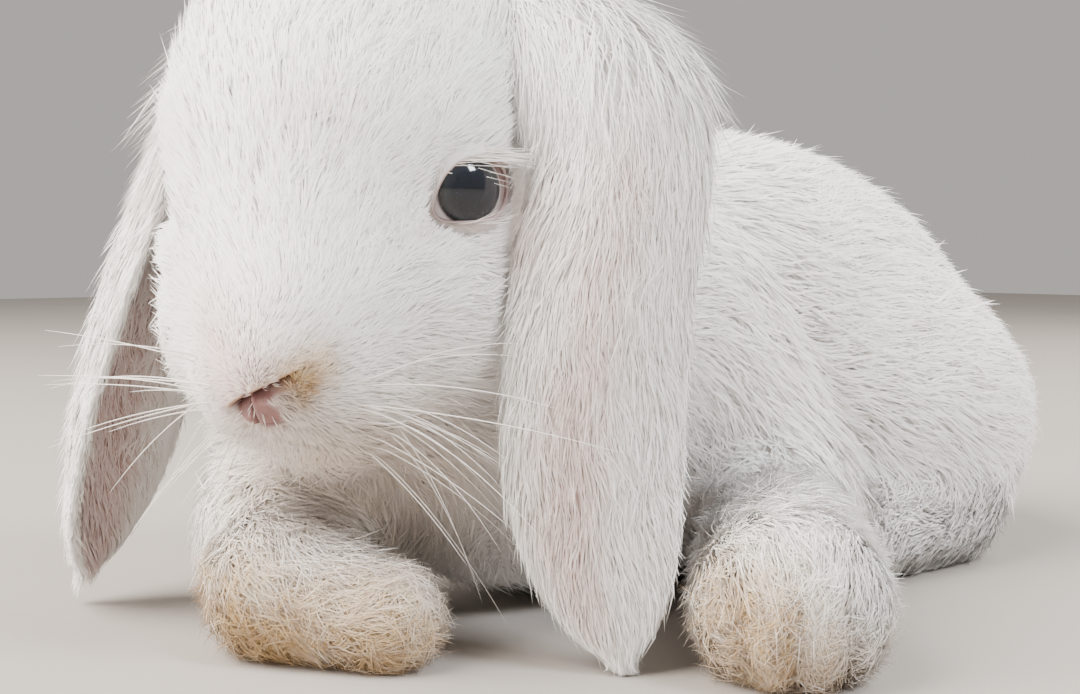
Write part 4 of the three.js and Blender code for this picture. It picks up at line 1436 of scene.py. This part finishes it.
# root + direction * length * t, bending back towards the eye with the square of t
def makeLashes():
    rng = np.random.default_rng(88)
    sets = []
    t = np.linspace(0, 1, lashSpec["rows"])[None, :, None]
    for side in (1, -1):
        _, ahead, up = (v @ headTurn.T for v in tilted(side, eye["openingTilt"]))
        for count, turns, shares, lengths, lean in lashSpec["kinds"]:
            around = np.radians(np.linspace(*turns, count) + rng.normal(0, 4, count))
            root = lidPoint(side, around, rng.uniform(*shares, count), 0.1)
            out = unit(root - eyeCentre(side))
            length = rng.uniform(*lengths, count)[:, None, None]
            wander = rng.normal(0, 0.1, (count, 3))
            sweep = unit(-ahead * lean[0] + up * lean[1] + out * lean[2] + wander)
            bend = out[:, None] * lashSpec["bend"] * length * t ** 2
            sets.append(root[:, None] + sweep[:, None] * length * t - bend)
    paths = np.concatenate(sets)
    radii = lashSpec["radius"] * np.tile(np.linspace(1, 0.1, lashSpec["rows"]) ** 0.8, (len(paths), 1))
    piece = makeTubes("lashes", paths, radii, whiskerFinish, sides=4)


makeWhiskers()
makeLashes()
print("whiskers and lashes made")


# small bent cones that just show at the toes
clawSpec = {
    "length": 3.0, "radius": 0.55, "rings": 14, "around": 12, "bend": 0.8, "dip": -0.12,
    "spreads": (-0.75, -0.25, 0.25, 0.75), "spacing": 6.5, "sunk": 8.0, "height": 3.4,
    "hind": {"spacing": 7.5, "ahead": 2.6, "height": 1.8},
}


# ring centres follow start + along * length * t - down * bend * t squared, radius falls as (1 - t) ** 0.7
def makeClaws():
    starts, alongs = [], []
    for leg in forelegs.values():
        wrist, toes = (np.array(leg["joints"][i], float) for i in (2, 3))
        ahead = unit((toes - wrist) * (1, 1, 0))
        sideways = np.cross(ahead, (0, 0, 1))
        for spread in clawSpec["spreads"]:
            reach = leg["radii"][2][1] * (1.02 - 0.22 * abs(spread)) - clawSpec["sunk"]
            place = toes * (1, 1, 0) + ahead * reach + sideways * spread * clawSpec["spacing"]
            starts.append(place + (0, 0, clawSpec["height"]))
            alongs.append(unit(ahead + sideways * spread * 0.35 + (0, 0, clawSpec["dip"])))
    hind = clawSpec["hind"]
    for side in (1, -1):
        toes = np.multiply(hindFoot["toes"], (side, 1, 0)).astype(float)
        for spread in clawSpec["spreads"]:
            starts.append(toes + (spread * hind["spacing"], -hind["ahead"], hind["height"]))
            alongs.append(unit(np.array((spread * 0.2, -1.0, clawSpec["dip"]))))
    starts, alongs = np.array(starts), np.array(alongs)
    t = np.linspace(0, 1, clawSpec["rings"])[None, :, None]
    paths = starts[:, None] + alongs[:, None] * clawSpec["length"] * t
    paths = paths - np.array((0, 0, clawSpec["bend"])) * t ** 2
    radii = clawSpec["radius"] * (1 - 0.97 * t[..., 0]) ** 0.7 * np.ones((len(starts), 1))
    piece = makeTubes("claws", paths, radii, clawFinish, sides=clawSpec["around"])


makeClaws()
print("claws made")


floorSpec = {"half": 1.5, "lines": 31}  # metres, and grid lines each way


def makeFloor():
    lines = np.linspace(-floorSpec["half"], floorSpec["half"], floorSpec["lines"])
    x, y = np.meshgrid(lines, lines)
    mesh = bpy.data.meshes.new("floor")
    points = np.stack([x.ravel(), y.ravel(), np.zeros(x.size)], -1)
    mesh.from_pydata(points, [], gridFaces(len(lines), len(lines)).tolist())
    mesh.materials.append(floorMaterial())
    floor = addObject("floor", mesh)


lightSpec = {  # place and target in metres, size, watts, colour
    "overhead": ((-0.2, -0.66, 0.78), (0, -0.03, 0.04), 0.8, 44, "#fffaf4"),
    "window": ((0.64, 0.1, 0.70), (0, -0.05, 0.05), 0.22, 12, "#f4f8ff"),
    "fill": ((-0.6, -0.75, 0.22), (0.02, -0.03, 0.03), 0.7, 10, "#fff6ee"),
    "rim": ((0.1, 0.75, 0.5), (0, 0.03, 0.05), 0.5, 9, "#fff8f0"),
}
worldSpec = {"colour": "#aca8a4", "strength": 1.2}


def makeLights():
    for name, (place, target, size, watts, tint) in lightSpec.items():
        data = bpy.data.lights.new(name, "AREA")
        data.shape = "SQUARE"
        data.size = size
        data.energy = watts
        data.color = colour(tint)[:3]
        light = addObject(name, data)
        light.location = place
        light.rotation_euler = (Vector(target) - Vector(place)).to_track_quat("-Z", "Y").to_euler()
    world = bpy.data.worlds.new("softRoom")
    bpy.context.scene.world = world
    world.use_nodes = True
    sky = world.node_tree.nodes["Background"]
    sky.inputs["Color"].default_value = colour(worldSpec["colour"])
    sky.inputs["Strength"].default_value = worldSpec["strength"]


makeFloor()
makeLights()
print("floor and lights made")
